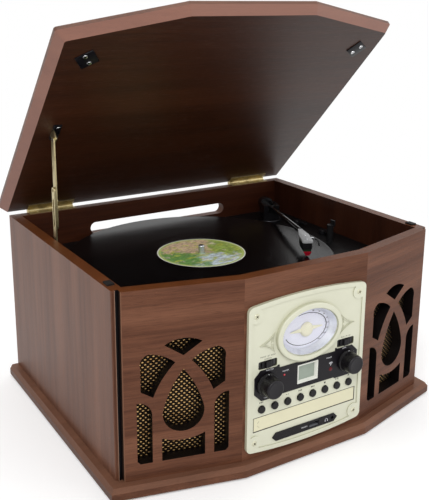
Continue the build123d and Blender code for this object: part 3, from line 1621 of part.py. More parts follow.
# ---------------------------------------------------------------- inside and rear
board_y = back_y - board_from_back - board_width / 2
board_top = cabinet_bottom + board_lift + board_thickness
with BuildPart() as main_board:
    with BuildSketch(Plane.XY.offset(board_top)):
        with Locations((board_x, board_y)):
            Rectangle(board_length, board_width)
    extrude(amount=-board_thickness)
    with BuildSketch(Plane.XY.offset(cabinet_bottom)):
        with Locations((board_x, board_y)):
            with GridLocations(board_length - 2 * standoff_inset, board_width - 2 * standoff_inset, 2, 2):
                Circle(standoff_radius)
    extrude(amount=board_lift)
    with BuildSketch(Plane.XY.offset(board_top)):
        with Locations((board_x - chip_pitch, board_y - chip_pitch / 2)):
            with GridLocations(chip_pitch, chip_pitch, 3, 2):
                Rectangle(chip_side, chip_side)
    extrude(amount=chip_height)
    with BuildSketch(Plane.XY.offset(board_top)):
        with Locations((board_x + board_length / 4, board_y - chip_pitch / 2)):
            with GridLocations(chip_pitch, chip_pitch, 2, 2):
                Circle(capacitor_radius)
    extrude(amount=capacitor_height)
    with BuildSketch(Plane.XY.offset(board_top)):
        with Locations((board_x, board_y + board_width / 3)):
            Rectangle(heatsink_length, heatsink_width)
    extrude(amount=heatsink_base)
    with BuildSketch(Plane.XY.offset(board_top)):
        with Locations((board_x, board_y + board_width / 3)):
            with GridLocations(heatsink_fin_pitch, 0, int(heatsink_length / heatsink_fin_pitch), 1):
                Rectangle(heatsink_fin, heatsink_width)
    extrude(amount=heatsink_height)
pieces["main_board"] = main_board

with BuildPart() as power_transformer:
    with BuildSketch(Plane.XY.offset(cabinet_bottom)):
        with Locations((transformer_x, back_y - transformer_from_back)):
            Rectangle(transformer_length, transformer_width)
    extrude(amount=transformer_height)
    chamfer(power_transformer.edges().group_by(Axis.Z)[-1], length=transformer_chamfer)
    with BuildSketch(Plane.XY.offset(cabinet_bottom)):
        with Locations((transformer_x, back_y - transformer_from_back)):
            Rectangle(transformer_length + 2 * transformer_lug, transformer_width / 2)
    extrude(amount=transformer_lug_thickness)
pieces["power_transformer"] = power_transformer

socket_start = terminal_x - 1.5 * phono_spacing
with BuildPart() as rear_terminal_plate:
    with BuildSketch(rear_plane):
        with Locations((-terminal_x, terminal_z)):
            RectangleRounded(terminal_width, terminal_height, terminal_corner)
    extrude(amount=terminal_thickness)
    with BuildSketch(rear_plane):
        with Locations((-terminal_x, terminal_z)):
            Rectangle(terminal_hole_width - 2 * deck_clearance, terminal_hole_height - 2 * deck_clearance)
    extrude(amount=-panel_thickness)
    socket_face = rear_plane.offset(terminal_thickness)
    socket_places = [(-socket_start - phono_spacing * index, terminal_z) for index in range(2)]
    gland_place = (-socket_start - phono_spacing * 3, terminal_z)
    with BuildSketch(socket_face):
        with Locations(*socket_places):
            Circle(phono_radius)
    extrude(amount=phono_length)
    with BuildSketch(socket_face.offset(phono_length)):
        with Locations(*socket_places):
            Circle(phono_bore_radius)
    extrude(amount=-phono_length - terminal_thickness, mode=Mode.SUBTRACT)
    with BuildSketch(socket_face):
        with Locations(gland_place):
            Circle(gland_radius)
    extrude(amount=gland_length, taper=8)
    with BuildSketch(socket_face.offset(gland_length)):
        with Locations(gland_place):
            Circle(gland_bore_radius)
    extrude(amount=-gland_length - terminal_thickness - panel_thickness, mode=Mode.SUBTRACT)
pieces["rear_terminal_plate"] = rear_terminal_plate

os.makedirs("parts", exist_ok=True)
for name, piece in pieces.items():
    piece.part.label = name
    export_step(piece.part, f"parts/{name}.step")
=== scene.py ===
"""Looks of the stereo music centre: its finishes, its finer pieces, the studio and the camera."""

import json
import math

import bmesh
import bpy
from bmesh.types import BMEdge, BMFace, BMVert
from mathutils import Matrix, Vector

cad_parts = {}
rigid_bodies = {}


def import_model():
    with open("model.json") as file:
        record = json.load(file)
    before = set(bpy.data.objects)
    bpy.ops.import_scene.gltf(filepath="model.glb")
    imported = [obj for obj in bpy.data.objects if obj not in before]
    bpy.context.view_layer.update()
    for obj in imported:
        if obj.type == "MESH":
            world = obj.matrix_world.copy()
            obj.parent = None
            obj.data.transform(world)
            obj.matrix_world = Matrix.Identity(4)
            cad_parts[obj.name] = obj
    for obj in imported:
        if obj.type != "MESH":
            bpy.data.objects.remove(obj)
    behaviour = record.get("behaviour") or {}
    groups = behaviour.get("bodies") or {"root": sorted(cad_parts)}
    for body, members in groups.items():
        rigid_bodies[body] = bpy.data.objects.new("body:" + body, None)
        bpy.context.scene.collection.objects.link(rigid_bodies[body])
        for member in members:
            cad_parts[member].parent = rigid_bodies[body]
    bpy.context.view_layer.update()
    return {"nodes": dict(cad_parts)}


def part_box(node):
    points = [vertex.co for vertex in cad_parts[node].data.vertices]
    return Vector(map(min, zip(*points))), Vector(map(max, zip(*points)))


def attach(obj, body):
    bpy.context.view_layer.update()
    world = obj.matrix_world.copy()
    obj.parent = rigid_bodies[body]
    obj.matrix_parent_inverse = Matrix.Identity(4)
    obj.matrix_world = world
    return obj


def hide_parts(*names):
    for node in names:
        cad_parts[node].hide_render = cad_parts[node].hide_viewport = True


for leftover in list(bpy.data.objects):
    bpy.data.objects.remove(leftover, do_unlink=True)
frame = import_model()

bl_info = {
    "name": "Stereo Music Centre",
    "version": (1, 0, 0),
    "blender": (4, 5, 0),
    "location": "3D View > Sidebar > Music Centre",
    "description": "Dresses the packed stereo music centre with its finishes and fine pieces",
    "category": "Add Mesh",
}

# Meshes are shaped in millimetres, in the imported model's frame, and turned to metres when done.
MM = 0.001
SMOOTH_ANGLE = math.radians(32)
INK = 0.06
WHITE = (1, 1, 1, 1)


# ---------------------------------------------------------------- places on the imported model
def node_box(name):
    """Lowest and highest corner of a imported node, in millimetres."""
    low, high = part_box(name)
    return Vector(low) / MM, Vector(high) / MM


def middle(name):
    low, high = node_box(name)
    return (low + high) / 2


def moving(x, y, z):
    return Matrix.Translation((x, y, z))


def turning(degrees, axis):
    return Matrix.Rotation(math.radians(degrees), 4, axis)


# The cabinet, and the front boards that slant back on each side of the middle one.
SIDE_LOW, SIDE_HIGH = node_box("left_side_panel")
CENTRE_LOW, CENTRE_HIGH = node_box("front_centre_board")
HALF_WIDTH, BACK, CABINET_TOP = -SIDE_LOW.x, SIDE_HIGH.y, SIDE_HIGH.z
STRIP_INNER = HALF_WIDTH - 6.5
FACET_SETBACK = 30.0
FACET_TURN = math.degrees(math.atan2(FACET_SETBACK, HALF_WIDTH - CENTRE_HIGH.x))
FACET_MIDDLE = Vector(((HALF_WIDTH + CENTRE_HIGH.x) / 2, CENTRE_LOW.y + FACET_SETBACK / 2, 0))
# The lid's frame stands on its hinge pin, LID_GAP below the lid's lower face.
LID_TURN, LID_GAP = 45.6, 1.0
LID_FRAME = moving(0, BACK + 2.5, CABINET_TOP + 1.0) @ turning(-LID_TURN, "X")
SPINDLE = Vector((*middle("platter_mat").xy, 0))
ARM_PIVOT = Vector((*middle("tonearm_base").xy, 179.5))
ARM_TURN, ARM_RISE, ARM_LENGTH = 21.0, 3.1, 139.0
# Front of the control panel, and of the knob band in it.
FACE_Y = -156.77
BAND_Y = node_box("knob_band")[0].y


def onto_front(x, y, z, turn=0.0, stretch=(1, 1, 1)):
    """Puts work drawn in the XY plane on the front, its X to the right and its Z forwards."""
    return moving(x, y, z) @ turning(90, "X") @ turning(turn, "Z") @ Matrix.Diagonal((*stretch, 1))


def onto_back(x, y, z):
    return moving(x, y, z) @ turning(180, "Z") @ turning(90, "X")


def facet_frame(side, depth):
    """Middle of a front side board: X along it, Y up and Z outwards, depth behind its face."""
    upright = turning(side * FACET_TURN, "Z") @ turning(90, "X")
    return moving(side * FACET_MIDDLE.x, FACET_MIDDLE.y, 0) @ upright @ moving(0, 0, -depth)


# ---------------------------------------------------------------- nodes
def shade(*screen_tone):
    """Scene colour of a screen colour given from 0 to 255."""
    parts = [value / 255 for value in screen_tone]
    linear = [
        part / 12.92 if part <= 0.04045 else ((part + 0.055) / 1.055) ** 2.4 for part in parts
    ]
    return (*linear, 1.0)


def put(tree, kind, feeds=None, **fields):
    """Adds a node. feeds gives its inputs values or other outputs, fields its own settings."""
    node = tree.nodes.new(kind)
    for field, value in fields.items():
        setattr(node, field, value)
    for socket, feed in (feeds or {}).items():
        if isinstance(feed, bpy.types.NodeSocket):
            tree.links.new(feed, node.inputs[socket])
        else:
            node.inputs[socket].default_value = feed
    return node


def calc(tree, operation, first, second=0.0, third=0.0, clamp=False):
    feeds = {0: first, 1: second, 2: third}
    return put(tree, "ShaderNodeMath", feeds, operation=operation, use_clamp=clamp).outputs[0]


def times(tree, first, second):
    return calc(tree, "MULTIPLY", first, second)


def mix(tree, factor, first, second, blend="MIX"):
    """Mixes two colours."""
    feeds = {0: factor, 6: first, 7: second}
    return put(tree, "ShaderNodeMix", feeds, data_type="RGBA", blend_type=blend).outputs[2]


def brighten(tree, color, value):
    return put(tree, "ShaderNodeHueSaturation", {"Value": value, "Color": color}).outputs[0]


def step(tree, value, low, high, to_low=0.0, to_high=1.0):
    """Smooth ramp of a value between low and high."""
    feeds = {"Value": value, "From Min": low, "From Max": high, "To Min": to_low, "To Max": to_high}
    return put(tree, "ShaderNodeMapRange", feeds, interpolation_type="SMOOTHSTEP").outputs[0]


def near(tree, value, centre, half, soft):
    """1 where a value lies within half of centre, fading out over soft."""
    away = calc(tree, "ABSOLUTE", calc(tree, "SUBTRACT", value, centre))
    return step(tree, away, half, half + soft, 1, 0)


def noise(tree, vector, stretch, detail=2.0, rough=0.5, twist=0.0):
    """Noise whose features are 1/stretch millimetres long along each axis."""
    spread = put(tree, "ShaderNodeMapping", {"Vector": vector, "Scale": stretch}).outputs[0]
    feeds = {"Vector": spread, "Scale": 1.0, "Detail": detail}
    feeds.update({"Roughness": rough, "Distortion": twist})
    return put(tree, "ShaderNodeTexNoise", feeds).outputs[0]


def place(tree, centre=(0, 0, 0), turn=(0, 0, 0)):
    """Object coordinates in millimetres, measured from centre and turned by turn degrees."""
    feeds = {
        "Vector": put(tree, "ShaderNodeTexCoord").outputs["Object"],
        "Location": [value * MM for value in centre],
        "Rotation": [math.radians(value) for value in turn],
        "Scale": (MM, MM, MM),
    }
    return put(tree, "ShaderNodeMapping", feeds, vector_type="TEXTURE").outputs[0]


def axes(tree, vector):
    """The X, Y and Z of a vector."""
    return put(tree, "ShaderNodeSeparateXYZ", {0: vector}).outputs[:]


def facing(tree, direction):
    """How far the surface faces a direction, from -1 to 1."""
    feeds = {0: put(tree, "ShaderNodeTexCoord").outputs["Normal"], 1: direction}
    return put(tree, "ShaderNodeVectorMath", feeds, operation="DOT_PRODUCT").outputs["Value"]


def reach(tree, vector, stretch=(1, 1, 0)):
    """Distance from the origin, each axis counted as much as stretch says."""
    level = put(tree, "ShaderNodeVectorMath", {0: vector, 1: stretch}, operation="MULTIPLY")
    feeds = {0: level.outputs[0]}
    return put(tree, "ShaderNodeVectorMath", feeds, operation="LENGTH").outputs["Value"]


def before_facet(tree, vector):
    """Distance in front of the outer face of the two front side boards."""
    x, y, _ = axes(tree, vector)
    across, ahead = math.sin(math.radians(FACET_TURN)), math.cos(math.radians(FACET_TURN))
    outward = calc(
        tree, "SUBTRACT", times(tree, calc(tree, "ABSOLUTE", x), across), times(tree, y, ahead)
    )
    return calc(tree, "SUBTRACT", outward, FACET_MIDDLE.x * across - FACET_MIDDLE.y * ahead)


# ---------------------------------------------------------------- shared effects
def wood_grain(tree, given):
    """Sliced veneer with its grain along X."""
    where = given["Vector"]
    streak = noise(tree, where, (0.006, 0.16, 0.16), 4, 0.6, 0.25)
    band = noise(tree, where, (0.002, 0.03, 0.03), 2)
    fibre = noise(tree, where, (0.035, 0.9, 0.9), 3, 0.6)
    pore = step(tree, noise(tree, where, (0.07, 2.0, 2.0), 1), 0.6, 0.72)
    color = mix(tree, step(tree, streak, 0.62, 0.34, 0.0, 0.42), given["Mid"], given["Dark"])
    figure = times(tree, step(tree, band, 0.44, 0.7), given["Figure"])
    color = mix(tree, figure, color, given["Pale"])
    color = brighten(tree, color, step(tree, fibre, 0.3, 0.7, 0.86, 1.12))
    color = mix(tree, times(tree, pore, 0.4), color, given["Dark"])
    return color, calc(tree, "MULTIPLY_ADD", fibre, 0.16, 0.32), calc(tree, "SUBTRACT", fibre, pore)


def moulded_skin(tree, given):
    """Moulded or painted skin: faint clouds of tone and a fine grain."""
    where = given["Vector"]
    cloud = noise(tree, where, (0.04, 0.04, 0.04), 3)
    finer = put(tree, "ShaderNodeVectorMath", {0: where, 3: given["Grain"]}, operation="SCALE")
    grain = noise(tree, finer.outputs[0], (1, 1, 1), 2, 0.6)
    swing = calc(tree, "SUBTRACT", calc(tree, "MULTIPLY_ADD", grain, 0.4, cloud), 0.7)
    color = brighten(tree, given["Tone"], calc(tree, "MULTIPLY_ADD", swing, given["Clouds"], 1.0))
    return color, calc(tree, "MULTIPLY_ADD", swing, 0.22, given["Gloss"], clamp=True), grain


def brushed_metal(tree, given):
    """Metal with fine brush lines along X and a duller film in places."""
    where = given["Vector"]
    line = noise(tree, where, (0.05, 4.0, 4.0), 2)
    dull = step(tree, noise(tree, where, (0.09, 0.09, 0.09), 4, 0.6), 0.48, 0.72)
    color = mix(tree, times(tree, dull, 0.7), given["Tone"], given["Film"])
    color = brighten(tree, color, calc(tree, "MULTIPLY_ADD", line, 0.3, 0.85))
    uneven = calc(tree, "MULTIPLY_ADD", dull, 0.16, given["Gloss"])
    return color, calc(tree, "MULTIPLY_ADD", line, 0.1, uneven), line


# What draws each effect, and the names of its colour and number inputs.
EFFECTS = {
    "wood_grain": (wood_grain, ("Pale", "Mid", "Dark"), ("Figure",)),
    "moulded_skin": (moulded_skin, ("Tone",), ("Clouds", "Gloss", "Grain")),
    "brushed_metal": (brushed_metal, ("Tone", "Film"), ("Gloss",)),
}


def use_effect(tree, name, where, **feeds):
    """Places a shared effect with a material's own values. Its group is built the first time."""
    group = bpy.data.node_groups.get(name)
    if group is None:
        draw, tones_given, numbers_given = EFFECTS[name]
        group = bpy.data.node_groups.new(name, "ShaderNodeTree")
        sockets = [("Vector", "INPUT", "Vector")]
        sockets += [(label, "INPUT", "Color") for label in tones_given]
        sockets += [(label, "INPUT", "Float") for label in numbers_given]
        results = (("Color", "Color"), ("Roughness", "Float"), ("Height", "Float"))
        sockets += [(label, "OUTPUT", kind) for label, kind in results]
        for label, way, kind in sockets:
            group.interface.new_socket(name=label, in_out=way, socket_type=f"NodeSocket{kind}")
        given = group.nodes.new("NodeGroupInput").outputs
        put(group, "NodeGroupOutput", dict(enumerate(draw(group, given))))
    return put(tree, "ShaderNodeGroup", {"Vector": where, **feeds}, node_tree=group).outputs


def grain_of(tree, tone_set, where, figure=0.5):
    """Wood grain in a pale, a middle and a dark tone."""
    pale, mid, dark = tone_set
    return use_effect(tree, "wood_grain", where, Pale=pale, Mid=mid, Dark=dark, Figure=figure)


def skin_of(tree, tone, gloss, clouds, grain, where):
    """Moulded skin in a tone."""
    feeds = {"Tone": tone, "Gloss": gloss, "Clouds": clouds, "Grain": grain}
    return use_effect(tree, "moulded_skin", where, **feeds)


# ---------------------------------------------------------------- materials
def new_material(name, **constants):
    """A material with one Principled shader. constants are values of the shader's own sockets."""
    material = bpy.data.materials.new(name)
    material.use_nodes = True
    tree = material.node_tree
    tree.nodes.clear()
    feeds = {label.replace("_", " "): value for label, value in constants.items()}
    shader = put(tree, "ShaderNodeBsdfPrincipled", feeds)
    put(tree, "ShaderNodeOutputMaterial", {"Surface": shader.outputs[0]})
    return material, tree, shader


def connect(tree, shader, color, roughness, height=None, depth=0.0):
    """Feeds a shader. depth is the height of the relief in millimetres."""
    tree.links.new(color, shader.inputs["Base Color"])
    tree.links.new(roughness, shader.inputs["Roughness"])
    if depth:
        bump = put(tree, "ShaderNodeBump", {"Height": height, "Distance": depth * MM})
        tree.links.new(bump.outputs[0], shader.inputs["Normal"])


class Finish:
    """A material on a shared effect, with the tones that are laid over its colour one by one."""

    def __init__(self, name, depth, centre=(0, 0, 0), turn=(0, 0, 0), **constants):
        self.material, self.tree, self.shader = new_material(name, **constants)
        self.where = place(self.tree, centre, turn)
        self.depth = depth

    def start(self, surface):
        """Feeds the shader with an effect's colour, roughness and relief."""
        self.color, self.roughness = surface["Color"], surface["Roughness"]
        height = surface["Height"]
        connect(self.tree, self.shader, self.color, self.roughness, height, self.depth)
        return self

    def over(self, mask, tone):
        """Lays a tone over the colour where the mask is 1."""
        self.color = mix(self.tree, mask, self.color, tone)
        self.tree.links.new(self.color, self.shader.inputs["Base Color"])


def skin(name, tone, gloss=0.4, clouds=0.25, grain=1.5, depth=0.02, centre=(0, 0, 0), **constants):
    """Finish of plastic, paint, rubber or paper."""
    finish = Finish(name, depth, centre, **{"Specular_IOR_Level": 0.2, **constants})
    return finish.start(skin_of(finish.tree, tone, gloss, clouds, grain, finish.where))


def metal_skin(name, tone, film, gloss, turn=(0, 0, 0), depth=0.004):
    finish = Finish(name, depth, turn=turn, Metallic=1.0)
    return finish.start(
        use_effect(finish.tree, "brushed_metal", finish.where, Tone=tone, Film=film, Gloss=gloss)
    )


def veneer(name, tone_set, centre, turn=(0, 0, 0), figure=0.5, sheen=0.13, depth=0.05):
    """Finish of satin veneer."""
    finish = Finish(name, depth, centre, turn, Specular_IOR_Level=sheen)
    return finish.start(grain_of(finish.tree, tone_set, finish.where, figure))


def moulded(*look, **more):
    return skin(*look, **more).material


def metal(*look):
    return metal_skin(*look).material


def ink(name, *tone):
    return moulded(name, shade(*tone), 0.5)


def dress(material, *names):
    """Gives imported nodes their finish."""
    for name in names:
        slots = frame["nodes"][name].data.materials
        slots.clear()
        slots.append(material)


# ---------------------------------------------------------------- mesh helpers
def new_object(name, data):
    item = bpy.data.objects.new(name, data)
    bpy.context.scene.collection.objects.link(item)
    return item


def new_mesh(name, work):
    mesh = bpy.data.meshes.new(name)
    work.to_mesh(mesh)
    work.free()
    return mesh


def new_piece(name, parts, body, slot, *materials, stands_for=(), smooth=SMOOTH_ANGLE):
    """Joins parts into a piece that rides on a body. Edges past smooth stay sharp.

    Each part is mesh work in millimetres, its place and, unless its faces hold it already, the
    number of its material.
    """
    whole = bmesh.new()
    for work, spot, *number in parts:
        bmesh.ops.transform(work, matrix=spot, verts=work.verts)
        if spot.determinant() < 0:
            bmesh.ops.reverse_faces(work, faces=work.faces)
        for face in work.faces if number else ():
            face.material_index = number[0]
        part = new_mesh("part", work)
        whole.from_mesh(part)
        bpy.data.meshes.remove(part)
    bmesh.ops.scale(whole, vec=(MM, MM, MM), verts=whole.verts)
    mesh = new_mesh(name, whole)
    for material in materials:
        mesh.materials.append(material)
    if smooth:
        mesh.shade_smooth()
        mesh.set_sharp_from_angle(angle=smooth)
    piece = new_object(name, mesh)
    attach(piece, body)
    if stands_for:
        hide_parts(*stands_for)


def only(kind, items):
    """The items of one kind among those that an operator gives."""
    return [item for item in items if isinstance(item, kind)]


def outwards(work):
    """Points the faces outwards."""
    bmesh.ops.recalc_face_normals(work, faces=work.faces)
    return work


def tidy(work):
    """Merges doubles and points the faces outwards."""
    bmesh.ops.remove_doubles(work, verts=work.verts, dist=1e-4)
    return outwards(work)


def pull(work, face, shift=(0, 0, 0)):
    """Extrudes a face, moves its new end by shift and gives that end."""
    grown = bmesh.ops.extrude_face_region(work, geom=[face, *face.edges, *face.verts])["geom"]
    end = only(BMFace, grown)[0]
    bmesh.ops.translate(work, vec=shift, verts=end.verts)
    return end


def rounded(work, edges, offset, segments=2):
    bmesh.ops.bevel(
        work, geom=edges, offset=offset, offset_type="OFFSET", segments=segments, profile=0.5,
        affect="EDGES", material=-1,
    )


def spun(work, angle, steps):
    """Spins all of the work about Z. A full turn closes on itself."""
    bmesh.ops.spin(
        work, geom=[*work.verts, *work.edges, *work.faces], cent=(0, 0, 0), axis=(0, 0, 1),
        angle=angle, steps=steps, use_merge=angle == math.tau,
    )
    return tidy(work)


def turned(profile, steps):
    """Solid of revolution about Z. profile lists (radius, height) along its outline."""
    work = bmesh.new()
    points = [work.verts.new((radius, 0, height)) for radius, height in profile]
    for pair in zip(points, points[1:]):
        work.edges.new(pair)
    return spun(work, math.tau, steps)


def block(size, centre, bevel=0.0, segments=2):
    """Box of the given size with rounded edges."""
    work = bmesh.new()
    bmesh.ops.create_cube(work, size=1.0)
    bmesh.ops.scale(work, vec=size, verts=work.verts)
    bmesh.ops.translate(work, vec=centre, verts=work.verts)
    if bevel:
        rounded(work, work.edges[:], bevel, segments)
    return work


def slab(corners, thickness, bevel=0.0):
    """Flat plate: corners in the XY plane, thickness up along Z."""
    work = bmesh.new()
    face = work.faces.new([work.verts.new((x, y, 0)) for x, y in corners])
    top = pull(work, face, (0, 0, thickness))
    outwards(work)
    if bevel:
        rounded(work, top.edges[:], bevel)
    return work


def arc(radius, width, thickness, start, sweep, steps=12):
    """Flat strip along an arc about Z, from start over sweep degrees, thickness up along Z."""
    work = bmesh.new()
    inner, outer = radius - width / 2, radius + width / 2
    section = ((inner, 0), (outer, 0), (outer, thickness), (inner, thickness))
    work.faces.new([work.verts.new((out, 0, level)) for out, level in section])
    bmesh.ops.transform(work, matrix=turning(start, "Z"), verts=work.verts)
    return spun(work, math.radians(sweep), steps)


def lettering(text, size, thickness=INK):
    """Text lying in the XY plane as a thin solid."""
    curve = bpy.data.curves.new("lettering", "FONT")
    curve.body = text
    curve.size = size
    curve.extrude = thickness / 2
    curve.align_x = curve.align_y = "CENTER"
    curve.resolution_u = 3
    holder = new_object("lettering", curve)
    graph = bpy.context.evaluated_depsgraph_get()
    graph.update()
    mesh = bpy.data.meshes.new_from_object(holder.evaluated_get(graph))
    work = bmesh.new()
    work.from_mesh(mesh)
    bpy.data.objects.remove(holder, do_unlink=True)
    bpy.data.curves.remove(curve)
    bpy.data.meshes.remove(mesh)
    return tidy(work)


def cross_screw(radius, height, head, recess):
    """Round-headed screw with a cross cut into its crown. head and recess are materials; a recess
    darker than the head is painted shade in the cut.
    """
    rounding = height * 0.6
    shoulder = [(radius, height - rounding), (radius - rounding * 0.35, height - rounding * 0.3)]
    work = turned([(0, 0), (radius, 0), *shoulder, (radius * 0.76, height)], 24)
    arm, half, depth = radius * 0.56, radius * 0.13, height * 0.45
    corners = [
        turning(-90 * quarter, "Z") @ Vector((x, y, height))
        for quarter in range(4)
        for x, y in ((half, half), (arm, half), (arm, -half))
    ]
    verts = [work.verts.new(corner) for corner in corners]
    cross = [work.edges.new(pair) for pair in zip(verts, verts[1:] + verts[:1])]
    rim = [edge for edge in work.edges if edge.is_boundary]
    bmesh.ops.triangle_fill(work, use_beauty=True, edges=rim + cross)
    for face in work.faces:
        face.material_index = head
    walls = bmesh.ops.extrude_edge_only(work, edges=cross)["geom"]
    bmesh.ops.translate(work, vec=(0, 0, -depth), verts=only(BMVert, walls))
    floor = bmesh.ops.contextual_create(work, geom=only(BMEdge, walls))["faces"]
    for face in floor + only(BMFace, walls):
        face.material_index = recess
    return outwards(work)


def bowed_ridge(first, second, centre, bow, width, height, steps=14):
    """Raised ridge between two points, bent towards centre by bow of its distance."""
    halfway = (first + second) / 2
    bend = halfway + (centre - halfway) * bow * 2
    work = bmesh.new()
    section = ((0, -0.5, 0), (0, -0.22, 1), (0, 0.22, 1), (0, 0.5, 0))
    end = work.faces.new([work.verts.new(point) for point in section])
    for _ in range(steps):
        end = pull(work, end, (1 / steps, 0, 0))
    for vert in work.verts:
        share, aside, up = vert.co
        rest = 1 - share
        spot = first * rest**2 + bend * 2 * share * rest + second * share**2
        along = ((bend - first) * rest + (second - bend) * share).normalized()
        taper = 0.25 + 0.75 * math.sin(math.pi * min(max(share, 0), 1)) ** 0.5
        sideways = Vector((-along.y, along.x, 0)) * width * taper * aside
        vert.co = spot + sideways + Vector((0, 0, height * up))
    return outwards(work)


def oval_rings(rings, closed, steps=96):
    """Shell through rings of (half width, half height, level), closed on itself or by caps."""
    x, y, level = rings[0]
    work = bmesh.new()
    spot = moving(0, 0, level) @ Matrix.Diagonal((x, y, 1, 1))
    bmesh.ops.create_circle(work, cap_ends=not closed, segments=steps, radius=1.0, matrix=spot)
    first = edges = work.edges[:]
    for (old_x, old_y, old_level), (x, y, level) in zip(rings, rings[1:]):
        grown = bmesh.ops.extrude_edge_only(work, edges=edges)["geom"]
        verts, edges = only(BMVert, grown), only(BMEdge, grown)
        bmesh.ops.scale(work, vec=(x / old_x, y / old_y, 1), verts=verts)
        bmesh.ops.translate(work, vec=(0, 0, level - old_level), verts=verts)
    if closed:
        bmesh.ops.bridge_loops(work, edges=first + edges)
    else:
        bmesh.ops.contextual_create(work, geom=edges)
    return tidy(work)


# ---------------------------------------------------------------- what a user may change
def colour_setting(label, use, *tone):
    return bpy.props.FloatVectorProperty(
        name=label, description=use, subtype="COLOR", size=4, min=0, max=1, default=shade(*tone)
    )


def length_setting(label, use, millimetres):
    return bpy.props.FloatProperty(
        name=label, description=use, subtype="DISTANCE", unit="LENGTH", default=millimetres * MM
    )


class MusicCentreColours(bpy.types.PropertyGroup):
    """Colours of the main finishes."""

    veneer_pale: colour_setting("Veneer, pale", "Lightest tone of the veneer", 134, 90, 68)
    veneer_mid: colour_setting("Veneer, middle", "Main tone of the veneer", 101, 63, 45)
    veneer_dark: colour_setting("Veneer, dark", "Streaks and pores of the veneer", 60, 31, 20)
    edging: colour_setting("Edging", "Polished upper edges of the boards", 92, 50, 24)
    cream: colour_setting("Cream", "Moulded control panel", 217, 217, 195)
    black: colour_setting("Black", "Glossy black mouldings", 18, 16, 20)
    brass: colour_setting("Brass", "Hinges and the lid's stay", 196, 182, 140)
    grille_gold: colour_setting("Grille gold", "Wires across the speaker openings", 214, 176, 118)


class MusicCentreSizes(bpy.types.PropertyGroup):
    """Sizes of the finer pieces, in metres."""

    weave_pitch: length_setting("Weave pitch", "Distance between gold beads along a wire", 5.3)
    weave_rows: length_setting("Weave rows", "Distance from one gold wire to the next", 2.45)
    numeral_height: length_setting("Numeral height", "Height of the numbers on the tuner dial", 2.7)
    legend_height: length_setting("Legend height", "Height of the words beside the controls", 2.0)
    groove_bands: bpy.props.IntProperty(
        name="Groove bands", description="Tracks on the record's side", default=5, min=1, max=12
    )


def chosen(colour):
    """A colour that the user may have changed."""
    return getattr(bpy.context.scene.music_centre_colours, colour)[:]


def chosen_length(size):
    """A size that the user may have changed, in millimetres."""
    return getattr(bpy.context.scene.music_centre_sizes, size) / MM


# ---------------------------------------------------------------- stage
class MUSIC_OT_stage(bpy.types.Operator):
    """Pale floor, soft lamps, white surroundings and the camera"""

    bl_idname = "music_centre.stage"
    bl_label = "Stage"

    # Name, place, side of the square and power of each lamp, and the point that they face.
    lamps = (
        ("key_lamp", (-1.3, -1.6, 2.1), 1.1, 36.0),
        ("fill_lamp", (1.7, -1.2, 1.0), 1.8, 9.0),
        ("top_lamp", (0.1, 0.5, 2.4), 1.5, 14.0),
    )
    lamp_target = Vector((0, 0, 0.15))
    floor_half = 12.0
    glow_start, glow_full = 330.0, 900.0
    camera_place = (-0.4571, -0.7134, 0.4534)
    yaw, pitch, roll = -31.9, -14.4, 0.4

    def execute(self, context):
        self.floor()
        self.world()
        for name, spot, size, power in self.lamps:
            light = bpy.data.lights.new(name, "AREA")
            light.shape, light.size, light.energy = "SQUARE", size, power
            lamp = new_object(name, light)
            lamp.location = spot
            look = self.lamp_target - Vector(spot)
            lamp.rotation_euler = look.to_track_quat("-Z", "Y").to_euler()
        self.camera()
        return {"FINISHED"}

    @staticmethod
    def seen_white(tree):
        """1 where the camera, a mirror or a glass looks, 0 for the light that falls on things."""
        rays = put(tree, "ShaderNodeLightPath").outputs
        seen = calc(tree, "MAXIMUM", rays["Is Camera Ray"], rays["Is Glossy Ray"])
        return calc(tree, "MAXIMUM", seen, rays["Is Transmission Ray"])

    def floor(self):
        """Floor that takes the shadow near the object and glows white further off."""
        work = bmesh.new()
        bmesh.ops.create_grid(work, x_segments=2, y_segments=2, size=self.floor_half)
        floor = new_object("floor", new_mesh("floor", work))
        paper = skin("pale_floor", shade(246, 246, 246), 0.9, 0.02, 0.4, 0, Specular_IOR_Level=0.1)
        tree = paper.tree
        seen = self.seen_white(tree)
        glow = put(tree, "ShaderNodeEmission", {"Strength": times(tree, seen, 0.2)})
        close = put(tree, "ShaderNodeAddShader", {0: paper.shader.outputs[0], 1: glow.outputs[0]})
        far = put(tree, "ShaderNodeEmission", {"Strength": 1.0})
        far_off = step(tree, reach(tree, paper.where), self.glow_start, self.glow_full)
        feeds = {0: times(tree, far_off, seen), 1: close.outputs[0], 2: far.outputs[0]}
        both = put(tree, "ShaderNodeMixShader", feeds)
        end = next(node for node in tree.nodes if node.type == "OUTPUT_MATERIAL")
        tree.links.new(both.outputs[0], end.inputs["Surface"])
        floor.data.materials.append(paper.material)

    def world(self):
        world = bpy.data.worlds.new("white_studio")
        world.use_nodes = True
        tree = world.node_tree
        tree.nodes.clear()
        strength = step(tree, self.seen_white(tree), 0.0, 1.0, 0.5, 1.0)
        light = put(tree, "ShaderNodeBackground", {"Color": WHITE, "Strength": strength})
        put(tree, "ShaderNodeOutputWorld", {"Surface": light.outputs[0]})
        bpy.context.scene.world = world

    def camera(self):
        lens = bpy.data.cameras.new("camera")
        lens.sensor_width, lens.lens = 36.0, 56.61
        lens.shift_x, lens.shift_y = 0.0012, -0.1072
        lens.clip_start, lens.clip_end = 0.05, 60.0
        camera = new_object("camera", lens)
        look = turning(self.yaw, "Z") @ turning(90 + self.pitch, "X") @ turning(self.roll, "Z")
        camera.matrix_world = moving(*self.camera_place) @ look
        bpy.context.scene.camera = camera
        bpy.context.scene.view_settings.view_transform = "Standard"


